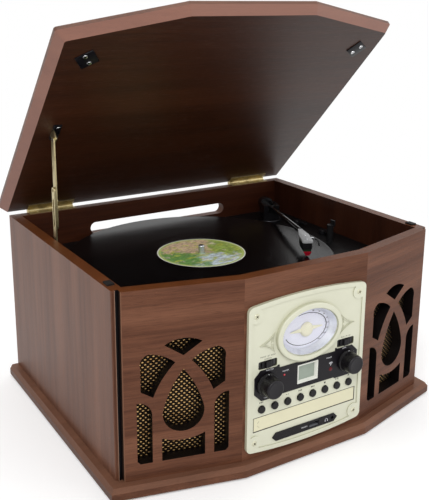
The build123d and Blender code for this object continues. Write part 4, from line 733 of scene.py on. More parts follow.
# ---------------------------------------------------------------- cabinet
def tones(share=1.0, warmth=1.0):
    """The veneer's three tones, made lighter or darker by share and redder by warmth."""
    scale = (share * warmth, share, share / warmth, 1)
    return [
        tuple(min(part * change, 1) for part, change in zip(chosen(tone), scale))
        for tone in ("veneer_pale", "veneer_mid", "veneer_dark")
    ]


def paint_inside_shade(finish, inward, share):
    """Paints shade over a board's colour on the side that faces into the cabinet."""
    inside_shade_tint = (share, share * 0.68, share * 0.52, 1.0)
    # Painted shade: the inward side is multiplied down by a dark, warm tint.
    inside = step(finish.tree, facing(finish.tree, inward), 0.5, 0.8)
    finish.over(inside, mix(finish.tree, 1.0, finish.color, inside_shade_tint, "MULTIPLY"))


def polish_edge(finish):
    """Lays the polished upper edge over a board's colour."""
    tree = finish.tree
    where = place(tree)
    wear = calc(tree, "MULTIPLY_ADD", noise(tree, where, (0.05, 0.05, 0.05), 3), 0.7, 0.65)
    edge = step(tree, axes(tree, where)[2], CABINET_TOP - 0.3, CABINET_TOP - 0.05)
    finish.over(edge, brighten(tree, chosen("edging"), wear))


class MUSIC_OT_cabinet(bpy.types.Operator):
    """Veneer on the cabinet's boards, its black trims, plinth and feet"""

    bl_idname = "music_centre.cabinet"
    bl_label = "Cabinet"

    # Each front board with its turn and the spot that its grain is drawn from.
    fronts = (
        ("front_left_board", -FACET_TURN, (-134, -140, 60)),
        ("front_centre_board", 0.0, (17, -154, 205)),
        ("front_right_board", FACET_TURN, (134, -140, 330)),
    )

    def execute(self, context):
        for side, name in ((-1, "left_side_panel"), (1, "right_side_panel")):
            centre = (side * 190, 30, 100)
            # The side panels take a paler, greyer copy of the veneer: painted sheen.
            board = veneer(f"{name}_veneer", tones(1.08, 0.96), centre, (0, -90, 0), 0.4, 0.22)
            # Painted shade on the panel's inner face.
            paint_inside_shade(board, (-side, 0, 0), 0.24)
            polish_edge(board)
            dress(board.material, name)
        for name, turn, centre in self.fronts:
            self.front(name, turn, centre)
        back = veneer("back_panel_veneer", tones(0.9), (10, 160, 40))
        # Painted shade on the back panel's inner face.
        paint_inside_shade(back, (0, -1, 0), 0.34)
        polish_edge(back)
        dress(back.material, "back_panel")
        self.plinth()
        self.corner_strips()
        dress(moulded("foot_rubber", shade(28, 27, 27), 0.75, 0.4, 2.0, 0.05), "feet")
        return {"FINISHED"}

    @staticmethod
    def front(name, turn, centre):
        """Veneer on its face, black behind it, a painted highlight where it meets the strip."""
        board = veneer(f"{name}_veneer", tones(), centre, (0, 0, turn))
        tree = board.tree
        outward = turning(turn, "Z") @ Vector((0, -1, 0))
        board.over(step(tree, facing(tree, outward), 0.2, 0.5, 1, 0), shade(14, 10, 10))
        where = place(tree)
        aside = calc(tree, "ABSOLUTE", axes(tree, where)[0])
        highlight_end = step(tree, aside, STRIP_INNER - 0.4, STRIP_INNER - 0.2)
        at_front = step(tree, before_facet(tree, where), -2.0, -1.6)
        # Painted highlight: a pale band on the board's end, standing for the light on its rounded
        # edge.
        board.over(times(tree, highlight_end, at_front), shade(124, 88, 68))
        polish_edge(board)
        dress(board.material, name)

    @staticmethod
    def corner_strips():
        """Black strips whose outer edge carries the side panel's veneer, after a painted highlight
        line.
        """
        strip = skin(
            "corner_strip_black", shade(10, 8, 10), 0.35, 0.3, 1.5, 0.02, Specular_IOR_Level=0.12
        )
        tree = strip.tree
        aside = calc(tree, "ABSOLUTE", axes(tree, strip.where)[0])
        grain = grain_of(tree, tones(), place(tree, (0, 0, 90), (0, -90, 0)))
        # Painted highlight: a pale line on the rounded edge between the black and the veneer.
        strip.over(step(tree, aside, STRIP_INNER + 3.0, STRIP_INNER + 3.2), shade(150, 118, 100))
        strip.over(step(tree, aside, STRIP_INNER + 3.6, STRIP_INNER + 3.8), grain["Color"])
        dress(strip.material, "corner_strips")

    @staticmethod
    def plinth():
        """Grain along each side of the plinth, and a painted highlight on its bevel."""
        base = veneer("plinth_veneer", tones(0.88), (0, -150, 8))
        tree = base.tree
        along_side = grain_of(tree, tones(0.84), place(tree, (190, 0, 8), (0, 0, 90)))
        at_side = step(tree, calc(tree, "ABSOLUTE", facing(tree, (1, 0, 0))), 0.4, 0.6)
        base.over(at_side, along_side["Color"])
        # Painted highlight on the faces that look upwards, the bevel among them.
        bevel = step(tree, facing(tree, (0, 0, 1)), 0.2, 0.4)
        base.over(times(tree, bevel, 0.3), shade(142, 104, 84))
        dress(base.material, "base_plinth")


# ---------------------------------------------------------------- lid and its stay
def brass_tones():
    return chosen("brass"), shade(134, 118, 84)


class MUSIC_OT_lid(bpy.types.Operator):
    """Veneer on the lid, its hinges, bumpers and strike plates"""

    bl_idname = "music_centre.lid"
    bl_label = "Lid"

    plate_side, plate_depth, plate_turn, plate_x, plate_y = 19.0, 1.2, 35.0, 166.0, -266.5
    plate_screw_shift, hinge_x, hinge_screw_shift = 5.5, 142.0, 18.0

    def execute(self, context):
        self.panel()
        self.strike_plates()
        brass = metal("hinge_brass", *brass_tones(), 0.26)
        dress(brass, "cabinet_hinge_leaves", "lid_hinge_leaves")
        screws = [
            (cross_screw(1.7, 0.35, 0, 0), moving(hinge + shift, BACK - 5.5, CABINET_TOP + 0.8))
            for hinge in (-self.hinge_x, self.hinge_x)
            for shift in (-self.hinge_screw_shift, self.hinge_screw_shift)
        ]
        new_piece("hinge_screws", screws, "cabinet", "brass", brass)
        dress(moulded("bumper_rubber", shade(24, 23, 23), 0.7, 0.4, 2.0, 0.05), "lid_bumpers")
        return {"FINISHED"}

    @staticmethod
    def panel():
        """Veneer outside, painted shade underneath as a darker grain, and a painted sheen on the
        bevel between them.
        """
        lid = veneer("lid_veneer", tones(0.95), (0, 0, 300), (LID_TURN, 0, 0), 0.5, 0.4)
        tree = lid.tree
        under = facing(tree, turning(-LID_TURN, "X") @ Vector((0, 0, -1)))
        # Painted shade: the lower face takes a much darker copy of the grain.
        underside_shade_tones = (shade(74, 38, 18), shade(58, 27, 10), shade(36, 14, 5))
        inner = grain_of(tree, underside_shade_tones, place(tree, (60, 20, 250), (LID_TURN, 0, 0)))
        lining = step(tree, under, 0.85, 0.95)
        lid.over(lining, inner["Color"])
        # Painted sheen: the bevel between the faces is laid paler.
        bevel = times(tree, step(tree, under, 0.45, 0.6), calc(tree, "SUBTRACT", 1.0, lining))
        lid.over(times(tree, bevel, 0.55), shade(158, 112, 98))
        dress(lid.material, "lid_panel")

    def strike_plates(self):
        """Black square plates under the lid's front corners, each with two bright screws."""
        parts = []
        for side in (-1, 1):
            spot = LID_FRAME @ moving(side * self.plate_x, self.plate_y, LID_GAP)
            spot = spot @ turning(side * self.plate_turn, "Z")
            size = (self.plate_side, self.plate_side, self.plate_depth)
            parts.append((block(size, (0, 0, -self.plate_depth / 2), 0.35), spot, 0))
            for shift in (-self.plate_screw_shift, self.plate_screw_shift):
                head = spot @ moving(0, shift, -self.plate_depth) @ turning(180, "X")
                # The cross takes the black plate's material: painted shade in the chrome screw's
                # recess.
                parts.append((cross_screw(2.4, 0.8, 1, 0), head))
        black = moulded("strike_plate_black", chosen("black"), 0.3, 0.3, 2.5, 0.03)
        chrome = metal("bright_screw", shade(220, 220, 222), shade(150, 150, 150), 0.16)
        new_piece(
            "strike_plates", parts, "lid", "black_gloss", black, chrome,
            stands_for=["lid_strike_plates"],
        )


class MUSIC_OT_stay(bpy.types.Operator):
    """Two brass arms that hold the lid, their wall bracket, and the black cap on the lid"""

    bl_idname = "music_centre.stay"
    bl_label = "Lid stay"

    bracket_x, pivot_y, pin_level, screw_shift = -175.5, -155.0, -10.0, 8.0

    def execute(self, context):
        brass = metal("stay_brass", *brass_tones(), 0.24, (0, -60, 0))
        dress(brass, "stay_lower_arm", "stay_upper_arm", "stay_wall_bracket")
        black = moulded("stay_cap_black", chosen("black"), 0.28, 0.3, 2.5, 0.02)
        chrome = metal("stay_chrome", shade(222, 222, 224), shade(150, 150, 150), 0.16)
        spot = LID_FRAME @ moving(self.bracket_x, self.pivot_y, LID_GAP)
        pin = turned([(0, 0), (1.8, 0), (1.8, 1.9), (0, 1.9)], 24)
        parts = [
            (block((1.4, 12.0, 13.5), (0.7, 0, -6.75), 0.3), spot, 0),
            (block((9.0, 24.0, 2.0), (4.5, 0, -1.0), 0.6), spot, 1),
            (pin, spot @ moving(-1.9, 0, self.pin_level) @ turning(90, "Y"), 2),
        ]
        for shift in (-self.screw_shift, self.screw_shift):
            head = spot @ moving(5.2, shift, -2.0) @ turning(180, "X")
            # The cross takes the black cap's material: painted shade in the chrome screw's recess.
            parts.append((cross_screw(2.2, 0.6, 2, 1), head))
        new_piece(
            "stay_lid_cap", parts, "lid", "brass", brass, black, chrome,
            stands_for=["stay_lid_bracket"],
        )
        return {"FINISHED"}


# ---------------------------------------------------------------- grilles and the inside
def waving_wire(length, pitch, lift, half_width, half_depth, steps_per_pitch, sides):
    """Wire along X that waves in Z, from -length/2, closed at both ends."""
    work = bmesh.new()
    bmesh.ops.create_circle(work, cap_ends=True, segments=sides, radius=1.0)
    section = Matrix.Diagonal((1, half_width, half_depth, 1)) @ turning(90, "Y")
    bmesh.ops.transform(work, matrix=moving(-length / 2, 0, lift) @ section, verts=work.verts)
    end = work.faces[:][0]
    stride = pitch / steps_per_pitch
    count = int(length / stride)
    levels = [lift * math.cos(math.tau * index / steps_per_pitch) for index in range(count + 1)]
    for now, then in zip(levels, levels[1:]):
        end = pull(work, end, (stride, 0, then - now))
    return outwards(work)


def repeat_across(work, count, spacing, half_shift):
    """Repeats a wire along Y, every second one moved half a wave along X."""
    first = [*work.verts, *work.edges, *work.faces]
    for index in range(1, count):
        copy = bmesh.ops.duplicate(work, geom=first)["geom"]
        shift = (half_shift * (index % 2), spacing * index, 0)
        bmesh.ops.translate(work, vec=shift, verts=only(BMVert, copy))
    return work


class MUSIC_OT_grilles(bpy.types.Operator):
    """Wire cloth behind the speaker openings: flat gold wires woven through black ones"""

    bl_idname = "music_centre.grilles"
    bl_label = "Grilles"

    half_width, bottom, top = 49.0, 24.5, 156.5
    depth, shift = 12.72, 2.5

    def execute(self, context):
        pitch, rows = chosen_length("weave_pitch"), chosen_length("weave_rows")
        width, height = 2 * self.half_width, self.top - self.bottom
        row_count, column_count = int(height / rows), int(width / (pitch / 2))
        across, upright = [], []
        for side in (-1, 1):
            board = facet_frame(side, self.depth) @ moving(-side * self.shift, 0, 0)
            row = waving_wire(width - pitch / 2, pitch, 0.24, 0.98, 0.34, 6, 6)
            row = repeat_across(row, row_count, rows, pitch / 2)
            across.append((row, board @ moving(-pitch / 4, self.bottom + rows / 2, 0)))
            column = waving_wire(height, 2 * rows, -0.24, 0.62, 0.3, 4, 5)
            column = repeat_across(column, column_count, pitch / 2, 0)
            end = moving(self.half_width, (self.bottom + self.top) / 2, 0)
            upright.append((column, board @ end @ turning(90, "Z")))
        dark = moulded("grille_black_wire", shade(10, 8, 8), 0.5, 0.5, 2.0, 0.02)
        for name, parts, finish in (("gold", across, self.gold()), ("black", upright, dark)):
            new_piece(
                f"grille_{name}_wires", parts, "cabinet", "grille_metal", finish,
                stands_for=["grille_meshes"],
            )
        return {"FINISHED"}

    def gold(self):
        """Wire metal that is bright on the crests of the weave, with painted shade into its
        hollows.
        """
        film = shade(168, 122, 70)
        wire = metal_skin("grille_gold", chosen("grille_gold"), film, 0.3, depth=0.02)
        crest = before_facet(wire.tree, wire.where)
        # Painted shade: the wire darkens where it dips back into the weave.
        hollow = step(wire.tree, crest, 0.26 - self.depth, 0.56 - self.depth, 1, 0)
        wire.over(hollow, shade(34, 20, 10))
        return wire.material


class MUSIC_OT_inside(bpy.types.Operator):
    """Finishes inside the cabinet: speakers, battens, circuit board, transformer and drive"""

    bl_idname = "music_centre.inside"
    bl_label = "Inside"

    board_top, chip_top = 21.3, 25.8

    def execute(self, context):
        dress(moulded("speaker_paper", shade(34, 32, 32), 0.75, 0.5, 0.9, 0.12), "speakers")
        pine_tones = (shade(226, 192, 140), shade(204, 164, 108), shade(160, 112, 64))
        dress(veneer("pine", pine_tones, (0, 0, 150), depth=0.1).material, "deck_battens")
        self.circuit_board()
        iron = metal("transformer_iron", shade(120, 122, 124), shade(74, 66, 60), 0.45)
        dress(iron, "power_transformer")
        zinc = metal("zinc_case", shade(186, 190, 196), shade(140, 142, 146), 0.35)
        dress(zinc, "cd_mechanism", "platter_motor")
        return {"FINISHED"}

    def circuit_board(self):
        """Green board with copper tracks under its lacquer; chips and cans stand above it."""
        board = skin(
            "circuit_board", shade(22, 88, 52), 0.35, 0.3, 1.2, 0.03,
            Specular_IOR_Level=0.5, Coat_Weight=0.4, Coat_Roughness=0.2,
        )
        tree = board.tree
        black = (0, 0, 0, 1)
        feeds = {
            "Vector": board.where, "Scale": 0.16, "Color1": black, "Color2": black,
            "Mortar Size": 0.05, "Mortar": WHITE,
        }
        lines = put(tree, "ShaderNodeTexBrick", feeds)
        tracks = put(tree, "ShaderNodeSeparateColor", {0: lines.outputs["Color"]}).outputs[0]
        board.over(times(tree, tracks, 0.5), shade(120, 170, 90))
        level = axes(tree, board.where)[2]
        board.over(step(tree, level, self.board_top, self.board_top + 0.2), shade(40, 40, 44))
        board.over(step(tree, level, self.chip_top, self.chip_top + 0.2), shade(128, 130, 136))
        dress(board.material, "main_board")


# ---------------------------------------------------------------- control panel
def arrow(direction, shift):
    """Printed triangle, 1.6 mm long, that points right (1) or left (-1)."""
    back, tip = shift - direction * 0.8, shift + direction * 0.8
    corners = [(back, -0.9), (tip, 0), (back, 0.9)]
    return slab(corners[::direction], INK)


def bar(shift, width=0.5, height=1.8):
    """Printed bar."""
    return block((width, height, INK), (shift, 0, INK / 2))


class MUSIC_OT_fascia(bpy.types.Operator):
    """Cream control panel with its relief ornaments, legends and screws"""

    bl_idname = "music_centre.fascia"
    bl_label = "Control panel"

    pocket_x, pocket_z, pocket_half_width, pocket_half_height = 48.5, 111.6, 11.3, 4.3
    drawer_z, drawer_half_width, drawer_half_height = 49.9, 64.25, 7.75
    ornament_x, ornament_z = 46.5, 134.0
    screw_inset = 3.0
    sign_z = 72.6
    # Text, x, z and share of the legends' height.
    dark_words = (
        ("PHONO   CD   RADIO", -48.5, 120.0, 0.9),
        ("FUNCTION", -48.5, 117.2, 0.8),
        ("FM ST   FM   AM", 48.5, 117.6, 0.9),
    )
    white_words = (
        ("FUNCTION", -46.5, 105.6, 0.9),
        ("BAND", 46.5, 105.6, 0.9),
        ("POWER", -27.5, 99.6, 1.1),
        ("STEREO", 27.0, 99.6, 1.0),
        ("VOLUME", -50.0, 77.2, 0.8),
    )

    def execute(self, context):
        cream = self.cream()
        dress(cream, "control_fascia")
        self.ornaments(cream)
        self.screws()
        self.legends()
        self.signs()
        return {"FINISHED"}

    def cream(self):
        """Cream moulding, black in the switch pockets, with painted shade on its sides and round
        the drawer.
        """
        panel = skin(
            "cream_moulding", chosen("cream"), 0.36, 0.1, 2.2, 0.012,
            Specular_IOR_Level=0.5, Coat_Weight=0.2, Coat_Roughness=0.12,
        )
        tree = panel.tree
        x, y, z = axes(tree, panel.where)
        sunken = step(tree, y, FACE_Y + 0.15, FACE_Y + 0.3)
        level = near(tree, z, self.pocket_z, self.pocket_half_height, 0.3)
        for pocket_x in (-self.pocket_x, self.pocket_x):
            inside = times(tree, near(tree, x, pocket_x, self.pocket_half_width, 0.3), level)
            panel.over(times(tree, inside, sunken), chosen("black"))
        # Painted shade on the relief's sides, the faces that do not look straight ahead.
        wall = step(tree, facing(tree, (0, -1, 0)), 0.95, 0.35, 0.0, 0.5)
        panel.over(wall, shade(150, 150, 118))
        # Painted shade in the drawer's opening, round the drawer.
        across = near(tree, x, 0.0, self.drawer_half_width, 0.2)
        tall = near(tree, z, self.drawer_z, self.drawer_half_height, 0.2)
        panel.over(times(tree, across, tall), shade(34, 32, 26))
        return panel.material

    def ornaments(self, cream):
        """On each side of the dial a three-pointed star with hollow sides, ridge inside ridge."""
        tips = [Vector(tip) for tip in ((-12.3, -2.1, 0), (5.2, 8.8, 0), (5.6, -11.6, 0))]
        centre = Vector((-0.8, -1.8, 0))
        parts = []
        for side in (-1, 1):
            spot = onto_front(
                side * self.ornament_x, FACE_Y + 0.05, self.ornament_z, stretch=(-side, 1, 1)
            )
            for share, width, height in ((1.0, 1.15, 0.9), (0.6, 1.0, 0.8)):
                points = [centre + (tip - centre) * share for tip in tips]
                for first, second in zip(points, points[1:] + points[:1]):
                    parts.append((bowed_ridge(first, second, centre, 0.3, width, height), spot))
            boss = turned([(0, 0.85), (0.6, 0.8), (1.2, 0.5), (1.3, 0)], 20)
            parts.append((boss, spot @ moving(2.4, -1.8, 0)))
        new_piece("fascia_ornaments", parts, "cabinet", "cream", cream)

    def screws(self):
        """Cross-head screws in the corners, each stopped at its own turn."""
        steel = moulded("fascia_screw", shade(214, 212, 184), 0.25, 0.2, 2.0, 0.02, Coat_Weight=0.5)
        # The cross is laid in a darker ink: painted shade in the recess.
        dark = ink("screw_recess", 104, 100, 80)
        low, high = node_box("fascia_screws")
        parts = [
            (cross_screw(3.0, 1.9, 0, 1), onto_front(x, FACE_Y + 0.1, z, 17 * (x + 0.4 * z)))
            for x in (low.x + self.screw_inset, high.x - self.screw_inset)
            for z in (low.z + self.screw_inset, high.z - self.screw_inset)
        ]
        new_piece(
            "fascia_screw_heads", parts, "cabinet", "screw_steel", steel, dark,
            stands_for=["fascia_screws"],
        )

    def legends(self):
        """Function words in dark ink on the cream and in white on the black band."""
        height = chosen_length("legend_height")
        dark, white = ink("printing_ink", 58, 56, 46), ink("white_ink", 225, 225, 228)
        prints = (
            ("fascia_words", "cream", FACE_Y, self.dark_words, dark),
            ("band_words", "black_gloss", BAND_Y, self.white_words, white),
        )
        for name, slot, y, words, finish in prints:
            parts = [
                (lettering(text, height * share), onto_front(x, y - 0.03, z))
                for text, x, z, share in words
            ]
            new_piece(name, parts, "cabinet", slot, finish, smooth=False)

    def signs(self):
        """Printed transport signs above the push buttons."""
        signs = (
            (arrow(1, -1.6), arrow(1, 0.2), bar(1.6)),
            (bar(-0.9, 2.4, 0.45), bar(1.3, 1.2, 0.45)),
            (bar(-1.3, 1.6, 0.45), bar(1.1, 1.6, 0.45)),
            (bar(-1.9), arrow(-1, -0.5), arrow(-1, 1.2)),
            (arrow(1, -1.2), arrow(1, 0.5), bar(1.9)),
            (bar(0, 1.8, 1.8),),
            (arrow(1, -0.8), bar(0.9), bar(1.8)),
            (slab([(-1.2, -0.1), (1.2, -0.1), (0, 1.3)], INK), bar(0, 2.4, 0.45)),
        )
        parts = [
            (sign, onto_front(middle(f"push_button_{index}").x, FACE_Y - 0.02, self.sign_z))
            for index, row in enumerate(signs, 1)
            for sign in row
        ]
        dark = ink("sign_ink", 40, 38, 34)
        new_piece("button_signs", parts, "cabinet", "cream", dark, smooth=False)


# ---------------------------------------------------------------- tuner dial
class MUSIC_OT_dial(bpy.types.Operator):
    """Tuner dial: silvered lining, pale scale with marks and numbers, pointer and glass"""

    bl_idname = "music_centre.dial"
    bl_label = "Tuner dial"

    floor_y, middle_z = -151.77, 135.0
    face_half_width, face_half_height, face_top = 30.1, 19.9, 0.12
    line_half_width, line_half_height = 25.8, 16.6
    # Each number with its turn from the right-hand side of the dial.
    numbers = (
        (72, "88"), (54, "90"), (37, "94"), (20, "98"), (3, "102"), (-14, "105"), (-31, "108"),
    )
    faint_numbers = ((128, "16"), (146, "14"), (163, "10"), (180, "7"))
    hub_profile = (
        (0, -3.0), (2.0, -3.0), (2.0, 0), (7.0, 0), (7.5, 0.5), (7.4, 1.6), (6.7, 2.8),
        (5.4, 3.75), (3.2, 4.35), (0, 4.5),
    )
    blade_section = ((-2.3, 0.6), (2.3, 0.6), (1.4, 1.7), (0, 2.2), (-1.4, 1.7))
    blade_stations = ((6.0, 1.0), (10.0, 0.82), (16.5, 0.45), (19.95, 0.12))

    def execute(self, context):
        spot = onto_front(0, self.floor_y, self.middle_z)
        foot = (self.face_half_width, self.face_half_height, 0.1)
        rings = [(30.38, 20.18, 0.02), (33.5, 23.3, 7.45), (33.35, 23.15, 7.45), foot]
        silver = metal("dial_lining_silver", shade(240, 242, 248), shade(216, 218, 226), 0.38)
        lining = oval_rings(rings, closed=True)
        new_piece("dial_lining", [(lining, spot)], "cabinet", "cream", silver)
        self.face(spot)
        self.scale(spot @ moving(0, 0, self.face_top))
        self.pointer()
        self.glass()
        return {"FINISHED"}

    def face(self, spot):
        """Pale card, greyed towards its rim by painted shade."""
        card = skin(
            "dial_face", shade(232, 232, 244), 0.4, 0.05, 3.0, 0.01, (0, 0, self.middle_z),
            Specular_IOR_Level=0.5,
        )
        width, height = self.face_half_width, self.face_half_height
        out = reach(card.tree, card.where, (1 / (width + 0.2), 0, 1 / (height + 0.2)))
        # Painted shade at the card's rim, beside the lining.
        card.over(step(card.tree, out, 0.86, 1.02, 0.0, 0.5), shade(150, 152, 166))
        disc = oval_rings([(width, height, 0.03), (width, height, self.face_top)], closed=False)
        new_piece("dial_face", [(disc, spot)], "cabinet", "cream", card.material)

    def scale(self, spot):
        """Oval line with a gap at the upper left, its marks, and the station numbers outside."""
        oval = Matrix.Diagonal((self.line_half_width, self.line_half_height, 1, 1))
        marks = [(arc(1.0, 0.036, 0.05, -160, 272, 96), spot @ oval)]
        for index in range(27):
            length = 0.7 if index % 3 else 1.3
            marks.append(self.mark(spot, 76 - 4.5 * index, -0.45 - length, length))
        faint = [
            self.mark(spot, 120 + 5.5 * index, 0, 0.8 if index % 3 else 1.4) for index in range(14)
        ]
        height = chosen_length("numeral_height") * 0.86
        for turn, text in self.numbers:
            marks.append((lettering(text, height), spot @ self.outside(turn, 2.1, 1.9)))
        marks.append((lettering("MHz", height * 0.8), spot @ moving(17.4, -14.4, 0)))
        for turn, text in self.faint_numbers:
            faint.append((lettering(text, height * 0.7), spot @ self.outside(turn, 2.4, 1.6)))
        black, grey = ink("dial_ink", 24, 24, 30), ink("dial_grey_ink", 150, 152, 165)
        new_piece("dial_scale", marks, "cabinet", "cream", black, smooth=False)
        new_piece("dial_faint_scale", faint, "cabinet", "cream", grey, smooth=False)

    def outside(self, turn, wider, taller):
        """Spot on an oval that is a little wider and taller than the line."""
        x = (self.line_half_width + wider) * math.cos(math.radians(turn))
        y = (self.line_half_height + taller) * math.sin(math.radians(turn))
        return moving(x, y, 0)

    def mark(self, spot, turn, lead, length):
        """Short stroke that starts lead outside the oval line, and its place."""
        stroke = block((length, 0.24, 0.05), (length / 2, 0, 0.025))
        return stroke, spot @ self.outside(turn, lead, lead) @ turning(turn, "Z")

    def pointer(self):
        """Domed hub with a tapered blade to each side."""
        spot = onto_front(0, self.floor_y - 0.3, self.middle_z)
        parts = [(turned(self.hub_profile, 56), spot)]
        for turn in (180, 0):
            blade = bmesh.new()
            root = self.blade_stations[0][0]
            end = blade.faces.new([blade.verts.new((root, y, z)) for y, z in self.blade_section])
            for (old_x, old_share), (x, share) in zip(self.blade_stations, self.blade_stations[1:]):
                end = pull(blade, end, (x - old_x, 0, 0))
                slimmer = (1, share / old_share, 0.55 + 0.45 * share)
                bmesh.ops.scale(blade, vec=slimmer, verts=end.verts, space=moving(0, 0, -0.6))
            parts.append((outwards(blade), spot @ turning(turn, "Z")))
        cream = moulded("pointer_cream", shade(234, 230, 204), 0.3, 0.1, 2.0, 0.01, Coat_Weight=0.4)
        new_piece("dial_needle", parts, "dial_pointer", "cream", cream, stands_for=["dial_pointer"])

    @staticmethod
    def glass():
        """Clear lens with a faint smear."""
        glass, tree, shader = new_material(
            "dial_glass", Transmission_Weight=1.0, IOR=1.2, Metallic=0.0, Specular_IOR_Level=0.5
        )
        smear = noise(tree, place(tree), (0.08, 0.08, 0.08), 4)
        clear = mix(tree, times(tree, smear, 0.02), WHITE, shade(214, 220, 230))
        connect(tree, shader, clear, step(tree, smear, 0.45, 0.7, 0.0, 0.05))
        dress(glass, "dial_lens")


# ---------------------------------------------------------------- knob band, knobs, switches
class MUSIC_OT_band(bpy.types.Operator):
    """Black band behind the knobs, its lamp and sensor, and the grey display"""

    bl_idname = "music_centre.band"
    bl_label = "Knob band and display"

    lamp_x, lamp_z = -29.0, 95.6
    sensor_x, sensor_z, sign_z = 29.5, 86.5, 91.0
    frame_width, panel_depth = 0.6, 3.4

    def execute(self, context):
        dress(moulded("band_black", shade(22, 19, 24), 0.3, 0.3, 1.6, 0.02), "knob_band")
        red = skin(
            "power_lamp", shade(196, 52, 60), 0.2, 0.2, 3, 0,
            Specular_IOR_Level=0.5, Emission_Strength=0.12,
        )
        red.tree.links.new(red.color, red.shader.inputs["Emission Color"])
        dome = turned([(0, -0.4), (1.0, -0.4), (1.0, 0.2), (0.7, 0.55), (0, 0.7)], 24)
        lamp = [(dome, onto_front(self.lamp_x, BAND_Y, self.lamp_z))]
        new_piece("power_lamp", lamp, "cabinet", "stylus_red", red.material)
        disc = turned([(0, -0.3), (2.2, -0.3), (2.2, 0.1), (1.9, 0.25), (0, 0.3)], 32)
        window = [(disc, onto_front(self.sensor_x, BAND_Y, self.sensor_z))]
        dark_red = moulded("dark_red_window", shade(92, 20, 26), 0.12)
        new_piece("remote_window", window, "cabinet", "black_gloss", dark_red)
        self.sensor_sign()
        self.display()
        return {"FINISHED"}

    def sensor_sign(self):
        """White generic sign over the sensor: a small beam of arcs above a dot."""
        spot = onto_front(self.sensor_x, BAND_Y - 0.02, self.sign_z)
        parts = [(turned([(0, 0), (0.55, 0), (0.55, 0.05), (0, 0.05)], 16), spot)]
        parts += [(arc(radius, 0.5, 0.05, 45, 90), spot) for radius in (1.3, 2.2, 3.1)]
        white = ink("sign_white", 222, 222, 226)
        new_piece("sensor_sign", parts, "cabinet", "black_gloss", white, smooth=False)

    def display(self):
        """White frame round a sunken grey liquid-crystal panel with faint cells."""
        low, high = node_box("display_window")
        width, depth, height = high - low
        centre = (low + high) / 2
        work = block((width, height, depth), (0, 0, depth / 2))

        def foremost(face):
            return round(face.calc_center_median().z, 3), face.calc_area()

        rounded(work, max(work.faces, key=foremost).edges[:], 0.35)
        front = max(work.faces, key=foremost)
        bmesh.ops.inset_region(
            work, faces=[front], thickness=self.frame_width, use_even_offset=True
        )
        panel = pull(work, front, (0, 0, -self.panel_depth))
        bmesh.ops.scale(work, vec=(0.9, 0.88, 1), verts=panel.verts)
        panel.material_index = 1
        white = moulded("display_frame_white", shade(232, 232, 224), 0.3, 0.1, 2.0, 0.01)
        glass = skin(
            "display_grey", shade(154, 164, 152), 0.3, 0.1, 2.5, 0, (0, 0, centre.z),
            Specular_IOR_Level=0.3,
        )
        tree = glass.tree
        x, _, z = axes(tree, glass.where)
        gap = calc(tree, "MINIMUM", *(calc(tree, "PINGPONG", part, 0.28) for part in (x, z)))
        glass.over(step(tree, gap, 0.0, 0.08, 0.1, 0.0), shade(112, 122, 112))
        spot = onto_front(centre.x, high.y, centre.z)
        new_piece(
            "display", [(outwards(work), spot)], "cabinet", "display_grey", white, glass.material,
            stands_for=["display_window"],
        )


class MUSIC_OT_knobs(bpy.types.Operator):
    """Two turned black knobs with wide skirts"""

    bl_idname = "music_centre.knobs"
    bl_label = "Knobs"

    profile = (
        (0, -8.6), (3.0, -8.6), (3.0, 0), (11.7, 0), (12.0, 0.3), (12.0, 2.3), (11.7, 2.8),
        (11.0, 3.0), (10.75, 3.1), (10.55, 3.5), (10.4, 4.4), (9.85, 12.6), (9.65, 13.9),
        (9.2, 14.8), (8.5, 15.3), (7.7, 15.5), (7.2, 15.42), (5.0, 15.2), (2.5, 15.08),
        (0, 15.05),
    )

    def execute(self, context):
        black = skin(
            "knob_black", shade(16, 14, 17), 0.24, 0.3, 2.4, 0.03, Specular_IOR_Level=0.24
        )
        tree = black.tree
        cap = step(tree, axes(tree, black.where)[1], BAND_Y - 15.3, BAND_Y - 14.6, 1.0, 0.0)
        black.over(times(tree, cap, 0.6), shade(34, 32, 36))
        duller = calc(tree, "MULTIPLY_ADD", cap, 0.16, black.roughness)
        tree.links.new(duller, black.shader.inputs["Roughness"])
        centre = middle("tuning_knob")
        for name, x in (("volume", -centre.x), ("tuning", centre.x)):
            spot = onto_front(x, BAND_Y - 0.4, centre.z)
            line = block((0.7, 2.6, 0.25), (0, 10.4, 2.95), 0.08)
            white = moulded(f"{name}_mark_white", shade(210, 210, 214), 0.4)
            new_piece(
                f"{name}_knob_turned", [(turned(self.profile, 72), spot), (line, spot, 1)],
                f"{name}_knob", "black_gloss", black.material, white, stands_for=[f"{name}_knob"],
            )
        return {"FINISHED"}


class MUSIC_OT_switches(bpy.types.Operator):
    """Finishes of the slide switches and the eight push buttons"""

    bl_idname = "music_centre.switches"
    bl_label = "Switches and buttons"

    def execute(self, context):
        switch = moulded("switch_black", shade(20, 18, 21), 0.34, 0.3, 2.5, 0.03)
        dress(switch, "function_switch", "band_switch")
        button = moulded("button_black", shade(26, 24, 26), 0.24, 0.3, 2.5, 0.02)
        dress(button, *(f"push_button_{index}" for index in range(1, 9)))
        return {"FINISHED"}


